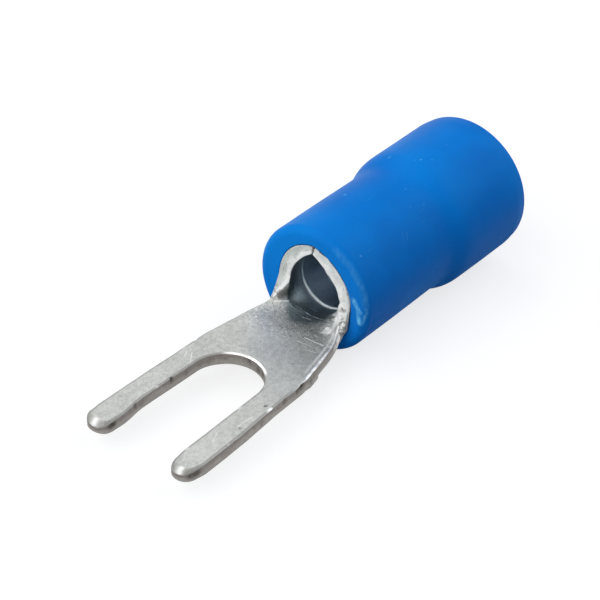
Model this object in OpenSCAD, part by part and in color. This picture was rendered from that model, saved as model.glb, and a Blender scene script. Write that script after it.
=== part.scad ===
// Insulated fork terminal: a stamped and rolled metal fork with a crimp barrel,
// pushed into a soft bell-mouthed sleeve.
// +X runs from the fork to the wire entry and +Z is up. The origin is the centre
// of the slot's round end, on the underside of the tongue.

/* [Sheet] */
// Thickness of the metal sheet
sheet_t = 0.55; // [0.45:0.05:0.7]

/* [Fork] */
// Distance from the slot's round end to the tips of the prongs
prong_reach = 5.25; // [4:0.25:8]
// Width of the slot at its round end
slot_w = 3.1; // [2.6:0.1:3.7]
// Width of the slot between the tips
mouth_w = 3.36; // [3:0.04:4]
// Width of a prong at its tip
prong_tip_w = 1.0; // [0.8:0.05:1.2]
// Width across the shoulders of the tongue
shoulder_w = 5.08; // [4.8:0.04:6.2]
// Distance from the slot's round end to the corner of the shoulder
shoulder_x = 1.7; // [1:0.1:2.2]
// Radius that blends the shoulder into the neck
shoulder_r = 2; // [1:0.5:4]
// Radius of the dome on each tip
tip_dome_r = 0.74; // [0.72:0.02:0.8]

/* [Neck] */
// Distance from the slot's round end to the start of the bend
bend_x = 3; // [2.6:0.1:3.4]
// Length of the bend, from the flat tongue to the barrel
bend_l = 2.25; // [1.8:0.15:3.3]
// Width of the unrolled neck where it meets the barrel
neck_w = 3.8; // [3.2:0.1:4.4]
// Angle from the barrel's lowest line to each side of the neck
neck_wrap = 72; // [60:6:78]
// Angle over which the neck's side turns up into the barrel's front edge
root_wrap = 24; // [12:6:30]
// Sharpness of the bend: a higher power keeps the neck flat for longer
bend_power = 5; // [2:0.5:6]

/* [Barrel] */
// Bore of the crimp barrel
barrel_bore = 2.56; // [2.2:0.04:3.2]
// Length of the crimp barrel
barrel_l = 5.5; // [4.5:0.25:7]
// Length over which the barrel's mouth becomes round
mouth_l = 0.8; // [0.6:0.05:1]
// Height of the bulge at the mouth's lower corners
corner_bulge = 0.32; // [0:0.04:0.4]
// Height of the peak where the edges lean together over the mouth
peak = 0.3; // [0:0.05:0.4]
// How much thinner the pressed sheet is at the seam's front end
seam_thin = 0.2; // [0:0.02:0.3]
// Gap between the butting edges
seam_gap = 0.05; // [0.02:0.01:0.1]
// Width of the notch where the edges part at the mouth
notch_w = 0.2; // [0.15:0.01:0.4]
// Length of the notch along the seam
notch_l = 0.3; // [0.1:0.05:0.5]
// Number of grooves across the inside of the barrel
groove_count = 3; // [1:1:3]
// Distance from the barrel's front edge to the first groove
groove_first = 0.98; // [0.95:0.01:1.2]
// Distance from one groove to the next
groove_pitch = 1.3; // [0.8:0.1:1.4]
// Width of a groove
groove_w = 0.22; // [0.15:0.01:0.26]
// Depth of a groove
groove_d = 0.09; // [0.05:0.01:0.12]

/* [Sleeve] */
// Length of the sleeve
sleeve_l = 10.8; // [9:0.2:13]
// Distance that the barrel stands out of the sleeve's front face
barrel_proud = 0.04; // [0:0.02:0.2]
// Wall of the sleeve round the barrel
grip_wall = 0.97; // [0.8:0.01:1.2]
// Bore of the wire entry
entry_bore = 4.3; // [3.8:0.1:5]
// Wall of the sleeve round the wire entry
entry_wall = 0.99; // [0.7:0.01:1.2]
// Length of the outside cone between the two diameters
step_l = 1.2; // [0.6:0.1:2]
// Radius of the rounded front rim
front_rim_r = 0.35; // [0.1:0.05:0.4]
// Radius of the rounded rear rim
rear_rim_r = 0.18; // [0.05:0.01:0.3]
// Length of the funnel that leads the wire into the barrel
funnel_l = 1.4; // [0.8:0.1:2]
// How far the funnel's narrow end stands back from the barrel's bore all round
funnel_margin = 0.12; // [0.04:0.02:0.3]
// Gap between the barrel and the sleeve
fit_gap = 0.02; // [0.02:0.01:0.05]

/* [Hidden] */
$fn = 96;
overlap = 1;
tip_r = prong_tip_w / 2;
tip_x = -prong_reach + tip_r;
tip_y = mouth_w / 2 + tip_r;
dome_lift = 0.05;
bore_r = barrel_bore / 2;
barrel_r = bore_r + sheet_t;
axis_z = barrel_r;
barrel_x = bend_x + bend_l;
tube_x = barrel_x + mouth_l;
sleeve_x = barrel_x + barrel_proud;
socket_l = barrel_l - barrel_proud + fit_gap;
front_r = barrel_r + fit_gap + grip_wall;
rear_r = entry_bore / 2 + entry_wall;
funnel_bore = barrel_bore + 2 * funnel_margin;
corner_at = 50;
corner_spread = 18;
crest_from = 100;
outer_power = 1.5;
inner_power = 3;
arc_steps = 6;
ring_cell = 6;
ring_cells = 360 / ring_cell;
mouth_rings = 8;
flat_rings = 10;
root_rings = 6;
neck_rings = flat_rings + root_rings;
neck_end = neck_wrap + root_wrap;
neck_cells = 2 * neck_end / ring_cell;
root_r = (bore_r + sheet_t / 2) * root_wrap * PI / 180;
inner_at = (mouth_rings + 2) * ring_cells;
side_at = (180 - neck_end) / ring_cell;
across = 2 * (neck_cells + 1);
tuck = 0.01;
root_l = 0.25;
metal = [0.76, 0.77, 0.77];
blue = [0.03, 0.36, 0.82];

// Half of the tongue's width at a place along it, behind the shoulder
function taper_half(x) =
    (shoulder_w + (neck_w - shoulder_w) * (x - shoulder_x) / (barrel_x - shoulder_x)) / 2;

// Points of the arc that rounds the corner at p between directions a and b
function blend(p, a, b, r) =
    let (
        turn = b - a,
        side = turn < 0 ? -1 : 1,
        start = p - r * tan(abs(turn) / 2) * [cos(a), sin(a)],
        centre = start + side * r * [-sin(a), cos(a)]
    )
    [for (i = [0:arc_steps])
        let (t = a + turn * i / arc_steps)
        centre - side * r * [-sin(t), cos(t)]];

// One side of the tongue from the tip's centre to the start of the bend
function outer_edge() =
    let (
        tip = [tip_x, tip_y + tip_r],
        corner = [shoulder_x, shoulder_w / 2],
        last = [bend_x, taper_half(bend_x)],
        a = atan2(corner.y - tip.y, corner.x - tip.x),
        b = atan2(last.y - corner.y, last.x - corner.x)
    )
    [tip, each blend(corner, a, b, shoulder_r), last];

// Smooth step from 0 to 1
function ease(u) = u * u * (3 - 2 * u);

// How far the mouth's section still is from round, 1 at the front edge
function out_of_round(x) = 1 - ease(max(0, min(1, (x - barrel_x) / mouth_l)));

// Bulge of the mouth's lower corners, at an angle from the barrel's lowest line
function corner(phi) = corner_bulge * exp(-pow((abs(phi) - corner_at) / corner_spread, 2));

// Rise towards the seam, where the two edges lean together over the mouth
function crest(phi, height, power) =
    height * pow(max(0, (abs(phi) - crest_from) / (180 - crest_from)), power);

// Radius of the sheet's outer (1) or inner (-1) face round the mouth
function mouth_r(phi, x, face) =
    (face > 0 ? barrel_r : bore_r)
    + out_of_round(x) * (corner(phi) + (face > 0
        ? crest(phi, peak, outer_power)
        : crest(phi, peak + seam_thin, inner_power)));

// A point at a radius and an angle round the barrel's axis
function polar(x, r, phi) = [x, r * sin(phi), axis_z - r * cos(phi)];

// A ring of points round the barrel's axis, its radius changed by an allowance
function ring(x, face, allowance) =
    [for (j = [0:ring_cells - 1])
        let (phi = j * ring_cell - 180)
        polar(x, mouth_r(phi, x, face) + allowance, phi)];

// Place along the neck of row i: even steps from a little inside the tongue, then
// closer ones round the hollow corner
function neck_x(i) =
    i == 0 ? bend_x - tuck
        : i < flat_rings ? bend_x + (bend_l - root_r) * i / flat_rings
        : barrel_x - root_r + root_r * sin(90 * (i - flat_rings) / root_rings);

// How far the neck's side has turned up into the barrel's front edge, from 0 to 1
function root_turn(x) = 1 - sqrt(max(0, 1 - pow(max(0, x - barrel_x + root_r) / root_r, 2)));

// A point of the neck: a flat sheet that folds up into the lower part of the mouth
function neck_point(x, v, face) =
    let (
        fold = pow(max(0, x - bend_x) / bend_l, bend_power),
        phi = v * (neck_wrap + root_wrap * root_turn(x)),
        flat = [x, v * (taper_half(x) + root_r * root_turn(x)), face > 0 ? 0 : sheet_t],
        rolled = polar(x, mouth_r(phi, barrel_x, face), phi)
    )
    flat + (rolled - flat) * fold;

// Two triangles between four points that run round a cell
function quad(a, b, c, d) = [[a, b, c], [a, c, d]];

// The solid inside a row of rings
module ring_plug(rings) {
    spans = len(rings) - 1;
    n = ring_cells;
    last = spans * n;
    polyhedron(
        points = [for (r = rings) each r],
        faces = [
            for (i = [0:spans - 1], j = [0:n - 1])
                let (a = i * n + j, b = i * n + (j + 1) % n)
                each quad(a, a + n, b + n, b),
            [for (j = [0:n - 1]) j],
            [for (j = [n - 1:-1:0]) last + j]
        ]
    );
}

// Places along the barrel where the mouth's rings stand
function mouth_stations() = [for (i = [0:mouth_rings]) barrel_x + mouth_l * i / mouth_rings];

// Stands a section across the barrel's axis and sweeps it along the axis
module along_barrel(x, length) {
    translate([x, 0, axis_z])
        rotate([90, 0, 90])
            linear_extrude(length)
                children();
}

module slot() {
    reach = tip_x - tip_r - overlap;
    translate([0, 0, -overlap]) {
        cylinder(d = slot_w, h = sheet_t + 2 * overlap);
        linear_extrude(sheet_t + 2 * overlap)
            polygon([
                [0, slot_w / 2],
                [0, -slot_w / 2],
                [reach, -mouth_w / 2],
                [reach, mouth_w / 2]
            ]);
    }
}

// The round end of one prong, its upper edge worn to a low dome
module prong_tip(side) {
    intersection() {
        translate([tip_x, side * tip_y, 0])
            cylinder(r = tip_r, h = sheet_t);
        translate([tip_x + tip_dome_r - tip_r, side * tip_y, dome_lift])
            sphere(r = tip_dome_r);
    }
}

module tongue() {
    edge = outer_edge();
    far_edge = [for (i = [len(edge) - 1:-1:0]) [edge[i].x, -edge[i].y]];
    difference() {
        linear_extrude(sheet_t)
            polygon([each edge, each far_edge]);
        slot();
    }
    for (side = [-1, 1])
        prong_tip(side);
}

// Place in the throat's list of point j in row i of the neck. The neck's last row is
// the front edge of the mouth, so it takes the points of the mouth's first rings.
function neck_index(i, j) =
    i < neck_rings ? 2 * inner_at + i * across + j
    : j <= neck_cells ? side_at + neck_cells - j
    : inner_at + side_at + j - neck_cells - 1;

// The flat neck folding up into the mouth and the mouth growing round behind it,
// as one closed surface. Its last rings are tucked into the round barrel's wall.
module throat() {
    n = ring_cells;
    stations = [each mouth_stations(), tube_x + root_l];
    last = inner_at - n;
    polyhedron(
        points = [
            for (face = [1, -1], x = stations)
                each ring(x, face, x < tube_x ? 0 : -face * tuck),
            for (i = [0:neck_rings - 1], face = [1, -1], j = [0:neck_cells])
                neck_point(neck_x(i), face * (1 - 2 * j / neck_cells), face)
        ],
        faces = [
            for (i = [0:mouth_rings], j = [0:n - 1])
                let (a = i * n + j, b = i * n + (j + 1) % n)
                each concat(
                    quad(a, a + n, b + n, b),
                    quad(inner_at + a, inner_at + b, inner_at + b + n, inner_at + a + n)
                ),
            for (j = [0:n - 1])
                let (k = (j + 1) % n)
                each concat(
                    quad(last + k, last + j, inner_at + last + j, inner_at + last + k),
                    j >= side_at && j < side_at + neck_cells ? []
                        : quad(j, k, inner_at + k, inner_at + j)
                ),
            for (i = [0:neck_rings - 1], j = [0:across - 1])
                let (k = (j + 1) % across)
                each quad(neck_index(i, j), neck_index(i, k), neck_index(i + 1, k), neck_index(i + 1, j)),
            for (j = [0:neck_cells - 1])
                let (k = across - 1 - j)
                each quad(neck_index(0, j), neck_index(0, k), neck_index(0, k - 1), neck_index(0, j + 1))
        ]
    );
}

// One groove: a ring of triangular section cut into the barrel's wall
module groove(x) {
    translate([x, 0, axis_z])
        rotate([0, 90, 0])
            rotate_extrude()
                polygon([
                    [0, -groove_w / 2],
                    [bore_r, -groove_w / 2],
                    [bore_r + groove_d, 0],
                    [bore_r, groove_w / 2],
                    [0, groove_w / 2]
                ]);
}

module round_barrel() {
    difference() {
        along_barrel(tube_x, barrel_l - mouth_l)
            difference() {
                circle(barrel_r);
                circle(bore_r);
            }
        for (i = [0:groove_count - 1])
            groove(barrel_x + groove_first + i * groove_pitch);
    }
}

// The butting edges of the rolled sheet, and the notch where they part at the front
module seam() {
    top = barrel_r + peak;
    along_barrel(barrel_x - overlap, barrel_l + 2 * overlap)
        translate([-seam_gap / 2, bore_r / 2])
            square([seam_gap, barrel_r]);
    along_barrel(barrel_x - overlap, notch_l + overlap)
        polygon([
            [0, top - notch_w],
            [notch_w / 2, top + tuck],
            [-notch_w / 2, top + tuck]
        ]);
}

module fork_terminal() {
    color(metal)
        difference() {
            union() {
                tongue();
                throat();
                round_barrel();
            }
            seam();
        }
}

// Outside of the sleeve as a profile of radius against length, turned about the axis
module sleeve_body() {
    translate([sleeve_x, 0, axis_z])
        rotate([0, 90, 0])
            rotate_extrude()
                union() {
                    polygon([
                        [0, 0],
                        [front_r - front_rim_r, 0],
                        [front_r, front_rim_r],
                        [front_r, socket_l],
                        [rear_r, socket_l + step_l],
                        [rear_r, sleeve_l - rear_rim_r],
                        [rear_r - rear_rim_r, sleeve_l],
                        [0, sleeve_l]
                    ]);
                    translate([front_r - front_rim_r, front_rim_r])
                        circle(front_rim_r);
                    translate([rear_r - rear_rim_r, sleeve_l - rear_rim_r])
                        circle(rear_rim_r);
                }
}

// A round hole along the axis, from a place in the sleeve
module bored(from, length, d1, d2) {
    translate([sleeve_x + from, 0, axis_z])
        rotate([0, 90, 0])
            cylinder(d1 = d1, d2 = d2, h = length);
}

// The stepped hole: a socket that follows the barrel, a funnel and the wire entry
module sleeve_hole() {
    socket_d = 2 * (barrel_r + fit_gap);
    stations = [barrel_x - overlap, each mouth_stations(), tube_x + 2 * tuck];
    ring_plug([for (x = stations) ring(x, 1, fit_gap + tuck)]);
    bored(mouth_l / 2, socket_l - mouth_l / 2, socket_d, socket_d);
    bored(socket_l - tuck, 2 * tuck, funnel_bore, funnel_bore);
    bored(socket_l, funnel_l, funnel_bore, entry_bore);
    bored(socket_l + funnel_l, sleeve_l, entry_bore, entry_bore);
}

module insulating_sleeve() {
    color(blue)
        difference() {
            sleeve_body();
            sleeve_hole();
        }
}

fork_terminal();
insulating_sleeve();
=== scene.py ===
"""Visual model of an insulated fork terminal.

A stamped and rolled fork of tinned metal with a crimp barrel, pushed into a soft blue
bell-mouthed sleeve. Sizes are in millimetres and become metres when a mesh is made.
"""

import logging
import math
from dataclasses import dataclass, field
from enum import Enum

import bpy
import numpy as np
from mathutils import Matrix, Vector

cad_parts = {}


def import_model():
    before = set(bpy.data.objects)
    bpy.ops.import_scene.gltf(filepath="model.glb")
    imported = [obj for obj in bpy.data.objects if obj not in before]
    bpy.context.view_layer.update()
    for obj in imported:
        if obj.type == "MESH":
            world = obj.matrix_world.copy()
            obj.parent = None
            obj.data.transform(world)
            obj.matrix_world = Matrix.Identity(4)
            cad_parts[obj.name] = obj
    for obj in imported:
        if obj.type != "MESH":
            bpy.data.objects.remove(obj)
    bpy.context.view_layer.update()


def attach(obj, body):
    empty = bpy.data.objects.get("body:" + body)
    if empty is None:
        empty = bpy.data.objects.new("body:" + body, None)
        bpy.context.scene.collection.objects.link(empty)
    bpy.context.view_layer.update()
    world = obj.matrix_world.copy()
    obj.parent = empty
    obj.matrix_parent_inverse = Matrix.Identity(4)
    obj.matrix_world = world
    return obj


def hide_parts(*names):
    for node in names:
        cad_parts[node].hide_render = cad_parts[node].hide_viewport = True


MM = 0.001
LOG = logging.getLogger("fork_terminal")

# Sizes that several classes share: the sheet's thickness, the barrel's inner radius and the
# height of its axis over the tongue's underside.
SHEET_T = 0.55
BORE_R = 1.28
AXIS_Z = BORE_R + SHEET_T

# A length that keeps comparisons clear of rounding.
TINY = 1e-6

Pair = tuple[float, float]
Triple = tuple[float, float, float]
Colour = tuple[float, float, float, float]
Face = tuple[int, ...]
Rung = list[tuple[Pair, Pair]]
Socket = bpy.types.NodeSocket


class Side(Enum):
    """The two faces of the sheet: the one under the tongue and the one over it."""

    UNDER = 0
    UPPER = 1


class Zone(Enum):
    """Stretches of the sheet, each with its own pair of coordinates."""

    FORK = 0
    NECK = 1
    BARREL = 2


class Surface(Enum):
    """Kinds of metal surface, in the order of the terminal's material slots."""

    PLATE = 0
    SHEARED = 1
    FRONT_EDGE = 2


def smooth_step(u: np.ndarray | float) -> np.ndarray | float:
    """Ease from 0 to 1 as the value, which is cut to 0..1, goes from 0 to 1."""
    u = np.clip(u, 0.0, 1.0)
    return u * u * (3.0 - 2.0 * u)


def rise(x: np.ndarray | float, start: float, run: float) -> np.ndarray | float:
    """Ease from 0 where x is at the start to 1 where it is a run further."""
    return smooth_step((x - start) / run)


def fall(x: np.ndarray | float, start: float, run: float) -> np.ndarray | float:
    """Ease from 1 where x is at the start to 0 where it is a run further."""
    return 1.0 - smooth_step((x - start) / run)


def bell(x: np.ndarray | float, centre: float, width: float) -> np.ndarray | float:
    """A bell of height 1 round a centre, down to about a third one width away."""
    return np.exp(-(((x - centre) / width) ** 2))


def crowded(steps: int, share: float) -> list[float]:
    """Places from 0 to 1 that crowd at both ends, evenly for share 0 and most for share 1."""
    return [(1.0 - share) * k / steps + share * (0.5 - 0.5 * math.cos(math.pi * k / steps))
            for k in range(steps + 1)]


class SmoothNoise:
    """Repeatable smooth noise made of a few random waves."""

    def __init__(self, seed: int, pitch: float, waves: int = 14) -> None:
        """Choose the waves.

        Args:
            seed: Seed of the random waves.
            pitch: Typical length of a wave, in millimetres.
            waves: How many waves are added up.
        """
        rng = np.random.default_rng(seed)
        axis = rng.normal(size=(waves, 3))
        axis /= np.linalg.norm(axis, axis=1)[:, None]
        length = pitch * rng.uniform(0.6, 1.8, size=waves)
        self.wave = axis * (2.0 * math.pi / length)[:, None]
        self.phase = rng.uniform(0.0, 2.0 * math.pi, size=waves)
        self.gain = 1.0 / math.sqrt(waves)

    def at(self, points: np.ndarray) -> np.ndarray:
        """The noise at each point, mostly within -1.5..1.5."""
        return np.sin(points @ self.wave.T + self.phase).sum(axis=1) * self.gain


@dataclass(frozen=True)
class Stroke:
    """A short straight mark on a surface, which is a spot where both ends are the same.

    Fields:
        start: One end, in millimetres.
        end: The other end.
        width: Distance from the line at which the mark has faded out.
        strength: How strongly it shows, from 0 to 1.
    """

    start: Triple
    end: Triple
    width: float = 0.03
    strength: float = 1.0


def spot(x: float, y: float, z: float, width: float, strength: float = 1.0) -> Stroke:
    """A round mark at one place, in millimetres."""
    return Stroke((x, y, z), (x, y, z), width, strength)


def plate_spot(x: float, y: float, width: float, strength: float = 1.0) -> Stroke:
    """A round mark on the flat upper face of the sheet."""
    return spot(x, y, SHEET_T, width, strength)


def round_spot(x: float, phi: float, radius: float, width: float, strength: float = 1.0) -> Stroke:
    """A round mark on the sleeve, at an angle in degrees from its lowest line."""
    a = math.radians(phi)
    return spot(x, radius * math.sin(a), AXIS_Z - radius * math.cos(a), width, strength)


@dataclass(frozen=True)
class Nick:
    """A small dent in the cut side of the sheet, at a point of its outline.

    Fields:
        place: Where it is along the outline, seen from above, in millimetres.
        radius: How far it reaches along the outline.
        depth: How deep it is.
        level: Its height in the sheet, 1 at the upper face.
        spread: How much of the sheet's thickness it takes.
        shade: How dark it is.
    """

    place: Pair
    radius: float
    depth: float
    level: float
    spread: float = 0.3
    shade: float = 1.0


class NodeBench:
    """Builds one material's node tree, with coordinates in millimetres."""

    def __init__(self, name: str) -> None:
        """Start a material.

        Args:
            name: Name of the material.
        """
        self.material = bpy.data.materials.new(name)
        self.material.use_nodes = True
        self.tree = self.material.node_tree
        self.tree.nodes.clear()
        self.output = self.tree.nodes.new("ShaderNodeOutputMaterial")
        self.shader = self.tree.nodes.new("ShaderNodeBsdfPrincipled")
        self.tree.links.new(self.shader.outputs[0], self.output.inputs[0])
        self.coords = self.tree.nodes.new("ShaderNodeTexCoord").outputs["Object"]

    def node(self, kind: str, **settings: object) -> bpy.types.Node:
        """Add a node.

        Args:
            kind: Blender's name of the node type.
            settings: Properties to set on it.

        Returns:
            The new node.
        """
        made = self.tree.nodes.new(kind)
        for key, value in settings.items():
            setattr(made, key, value)
        return made

    def plug(self, socket: Socket, value: object) -> None:
        """Link a socket to another, or set its value.

        Args:
            socket: The input socket.
            value: An output socket or a plain value.
        """
        if isinstance(value, Socket):
            self.tree.links.new(value, socket)
        else:
            socket.default_value = value

    def place(self, scale: Triple) -> Socket:
        """Coordinates in millimetres, stretched along the axes.

        Args:
            scale: Cycles a millimetre along X, Y and Z.

        Returns:
            The vector socket.
        """
        mapping = self.node("ShaderNodeMapping")
        self.plug(mapping.inputs["Vector"], self.coords)
        mapping.inputs["Scale"].default_value = tuple(s / MM for s in scale)
        return mapping.outputs[0]

    def noise(self, scale: Triple, detail: float = 3.0, rough: float = 0.55) -> Socket:
        """Fractal noise in 0..1.

        Args:
            scale: Cycles a millimetre along X, Y and Z.
            detail: Number of octaves.
            rough: Strength of each finer octave.

        Returns:
            The value socket.
        """
        made = self.node("ShaderNodeTexNoise")
        self.plug(made.inputs["Vector"], self.place(scale))
        made.inputs["Scale"].default_value = 1.0
        made.inputs["Detail"].default_value = detail
        made.inputs["Roughness"].default_value = rough
        return made.outputs[0]

    def cells(self, scale: Triple) -> Socket:
        """Distance to the nearest of many scattered points.

        Args:
            scale: Cells a millimetre along X, Y and Z.

        Returns:
            The distance socket.
        """
        made = self.node("ShaderNodeTexVoronoi")
        self.plug(made.inputs["Vector"], self.place(scale))
        made.inputs["Scale"].default_value = 1.0
        return made.outputs["Distance"]

    def span(self, value: object, low: float, high: float, to_low: float = 0.0,
             to_high: float = 1.0) -> Socket:
        """Map a value from one range to another, cut at both ends.

        Args:
            value: The socket to map.
            low: Start of the range that is read.
            high: End of the range that is read.
            to_low: Result at the start.
            to_high: Result at the end.

        Returns:
            The mapped socket.
        """
        made = self.node("ShaderNodeMapRange")
        made.clamp = True
        self.plug(made.inputs["Value"], value)
        for key, number in zip(("From Min", "From Max", "To Min", "To Max"),
                               (low, high, to_low, to_high)):
            made.inputs[key].default_value = number
        return made.outputs[0]

    def math(self, kind: str, a: object, b: object, cut: bool = False) -> Socket:
        """Combine two values.

        Args:
            kind: Blender's name of the operation.
            a: First value or socket.
            b: Second value or socket.
            cut: Whether the result is kept within 0..1.

        Returns:
            The result socket.
        """
        made = self.node("ShaderNodeMath", operation=kind, use_clamp=cut)
        self.plug(made.inputs[0], a)
        self.plug(made.inputs[1], b)
        return made.outputs[0]

    def times(self, a: object, b: object) -> Socket:
        """Product of two values."""
        return self.math("MULTIPLY", a, b)

    def plus(self, a: object, b: object) -> Socket:
        """Sum of two values."""
        return self.math("ADD", a, b)

    def larger(self, a: object, b: object) -> Socket:
        """The larger of two values."""
        return self.math("MAXIMUM", a, b)

    def vector(self, kind: str, a: object, b: object = None) -> Socket:
        """Combine two vectors, or a vector and a number.

        Args:
            kind: Blender's name of the operation.
            a: First vector or socket.
            b: Second vector, or the factor where the operation is SCALE.

        Returns:
            The result socket, a number for DOT_PRODUCT and LENGTH.
        """
        made = self.node("ShaderNodeVectorMath", operation=kind)
        self.plug(made.inputs[0], a)
        if b is not None:
            self.plug(made.inputs["Scale" if kind == "SCALE" else 1], b)
        return made.outputs["Value" if kind in ("DOT_PRODUCT", "LENGTH") else "Vector"]

    def along(self, axis: int) -> Socket:
        """One coordinate in millimetres.

        Args:
            axis: 0, 1 or 2 for X, Y or Z.

        Returns:
            The value socket.
        """
        parts = self.node("ShaderNodeSeparateXYZ")
        self.plug(parts.inputs[0], self.place((1.0, 1.0, 1.0)))
        return parts.outputs[axis]

    def mark(self, name: str) -> Socket:
        """A number that the mesh carries at each point, such as how deep a nick is there."""
        return self.node("ShaderNodeAttribute", attribute_name=name).outputs["Fac"]

    def stroke(self, mark: Stroke) -> Socket:
        """Mask of one stroke or spot.

        Args:
            mark: The stroke.

        Returns:
            Its strength on the line, falling to 0 at its width.
        """
        start = Vector(mark.start) * MM
        run = Vector(mark.end) * MM - start
        off = self.vector("SUBTRACT", self.coords, tuple(start))
        if run.length > 0.0:
            share = self.math("MULTIPLY", self.vector("DOT_PRODUCT", off, tuple(run)),
                              1.0 / run.length_squared, cut=True)
            off = self.vector("SUBTRACT", off, self.vector("SCALE", tuple(run), share))
        away = self.vector("LENGTH", off)
        return self.span(away, 0.3 * mark.width * MM, mark.width * MM, mark.strength, 0.0)

    def strokes(self, marks: tuple[Stroke, ...]) -> Socket:
        """Mask of several strokes together.

        Args:
            marks: The strokes.

        Returns:
            The strongest of them at each place.
        """
        total: object = 0.0
        for mark in marks:
            total = self.larger(total, self.stroke(mark))
        return total

    def mix(self, share: object, a: object, b: object) -> Socket:
        """Blend two colours.

        Args:
            share: How much of the second colour shows.
            a: First colour, as numbers or a socket.
            b: Second colour, as numbers or a socket.

        Returns:
            The colour socket.
        """
        made = self.node("ShaderNodeMix", data_type="RGBA")
        self.plug(made.inputs[0], share)
        self.plug(made.inputs[6], a)
        self.plug(made.inputs[7], b)
        return made.outputs[2]

    def bump(self, height: object, depth: float, under: object = None) -> Socket:
        """Tilt the surface by a height.

        Args:
            height: Height socket, 0..1.
            depth: Depth of the full height, in millimetres.
            under: Normal socket that this one is laid over.

        Returns:
            The normal socket.
        """
        made = self.node("ShaderNodeBump")
        made.inputs["Strength"].default_value = 1.0
        made.inputs["Distance"].default_value = depth * MM
        self.plug(made.inputs["Height"], height)
        if under is not None:
            self.plug(made.inputs["Normal"], under)
        return made.outputs[0]

    def finish(self, colour: object, rough: object, normal: object, metallic: object) -> bpy.types.Material:
        """Connect the shader.

        Args:
            colour: Colour socket or numbers.
            rough: Roughness socket or number.
            normal: Normal socket.
            metallic: Socket or number, 1 for metal, 0 for plastic and less than 1 for crushed metal.

        Returns:
            The finished material.
        """
        self.plug(self.shader.inputs["Base Color"], colour)
        self.plug(self.shader.inputs["Roughness"], rough)
        self.plug(self.shader.inputs["Normal"], normal)
        self.plug(self.shader.inputs["Metallic"], metallic)
        return self.material


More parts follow.
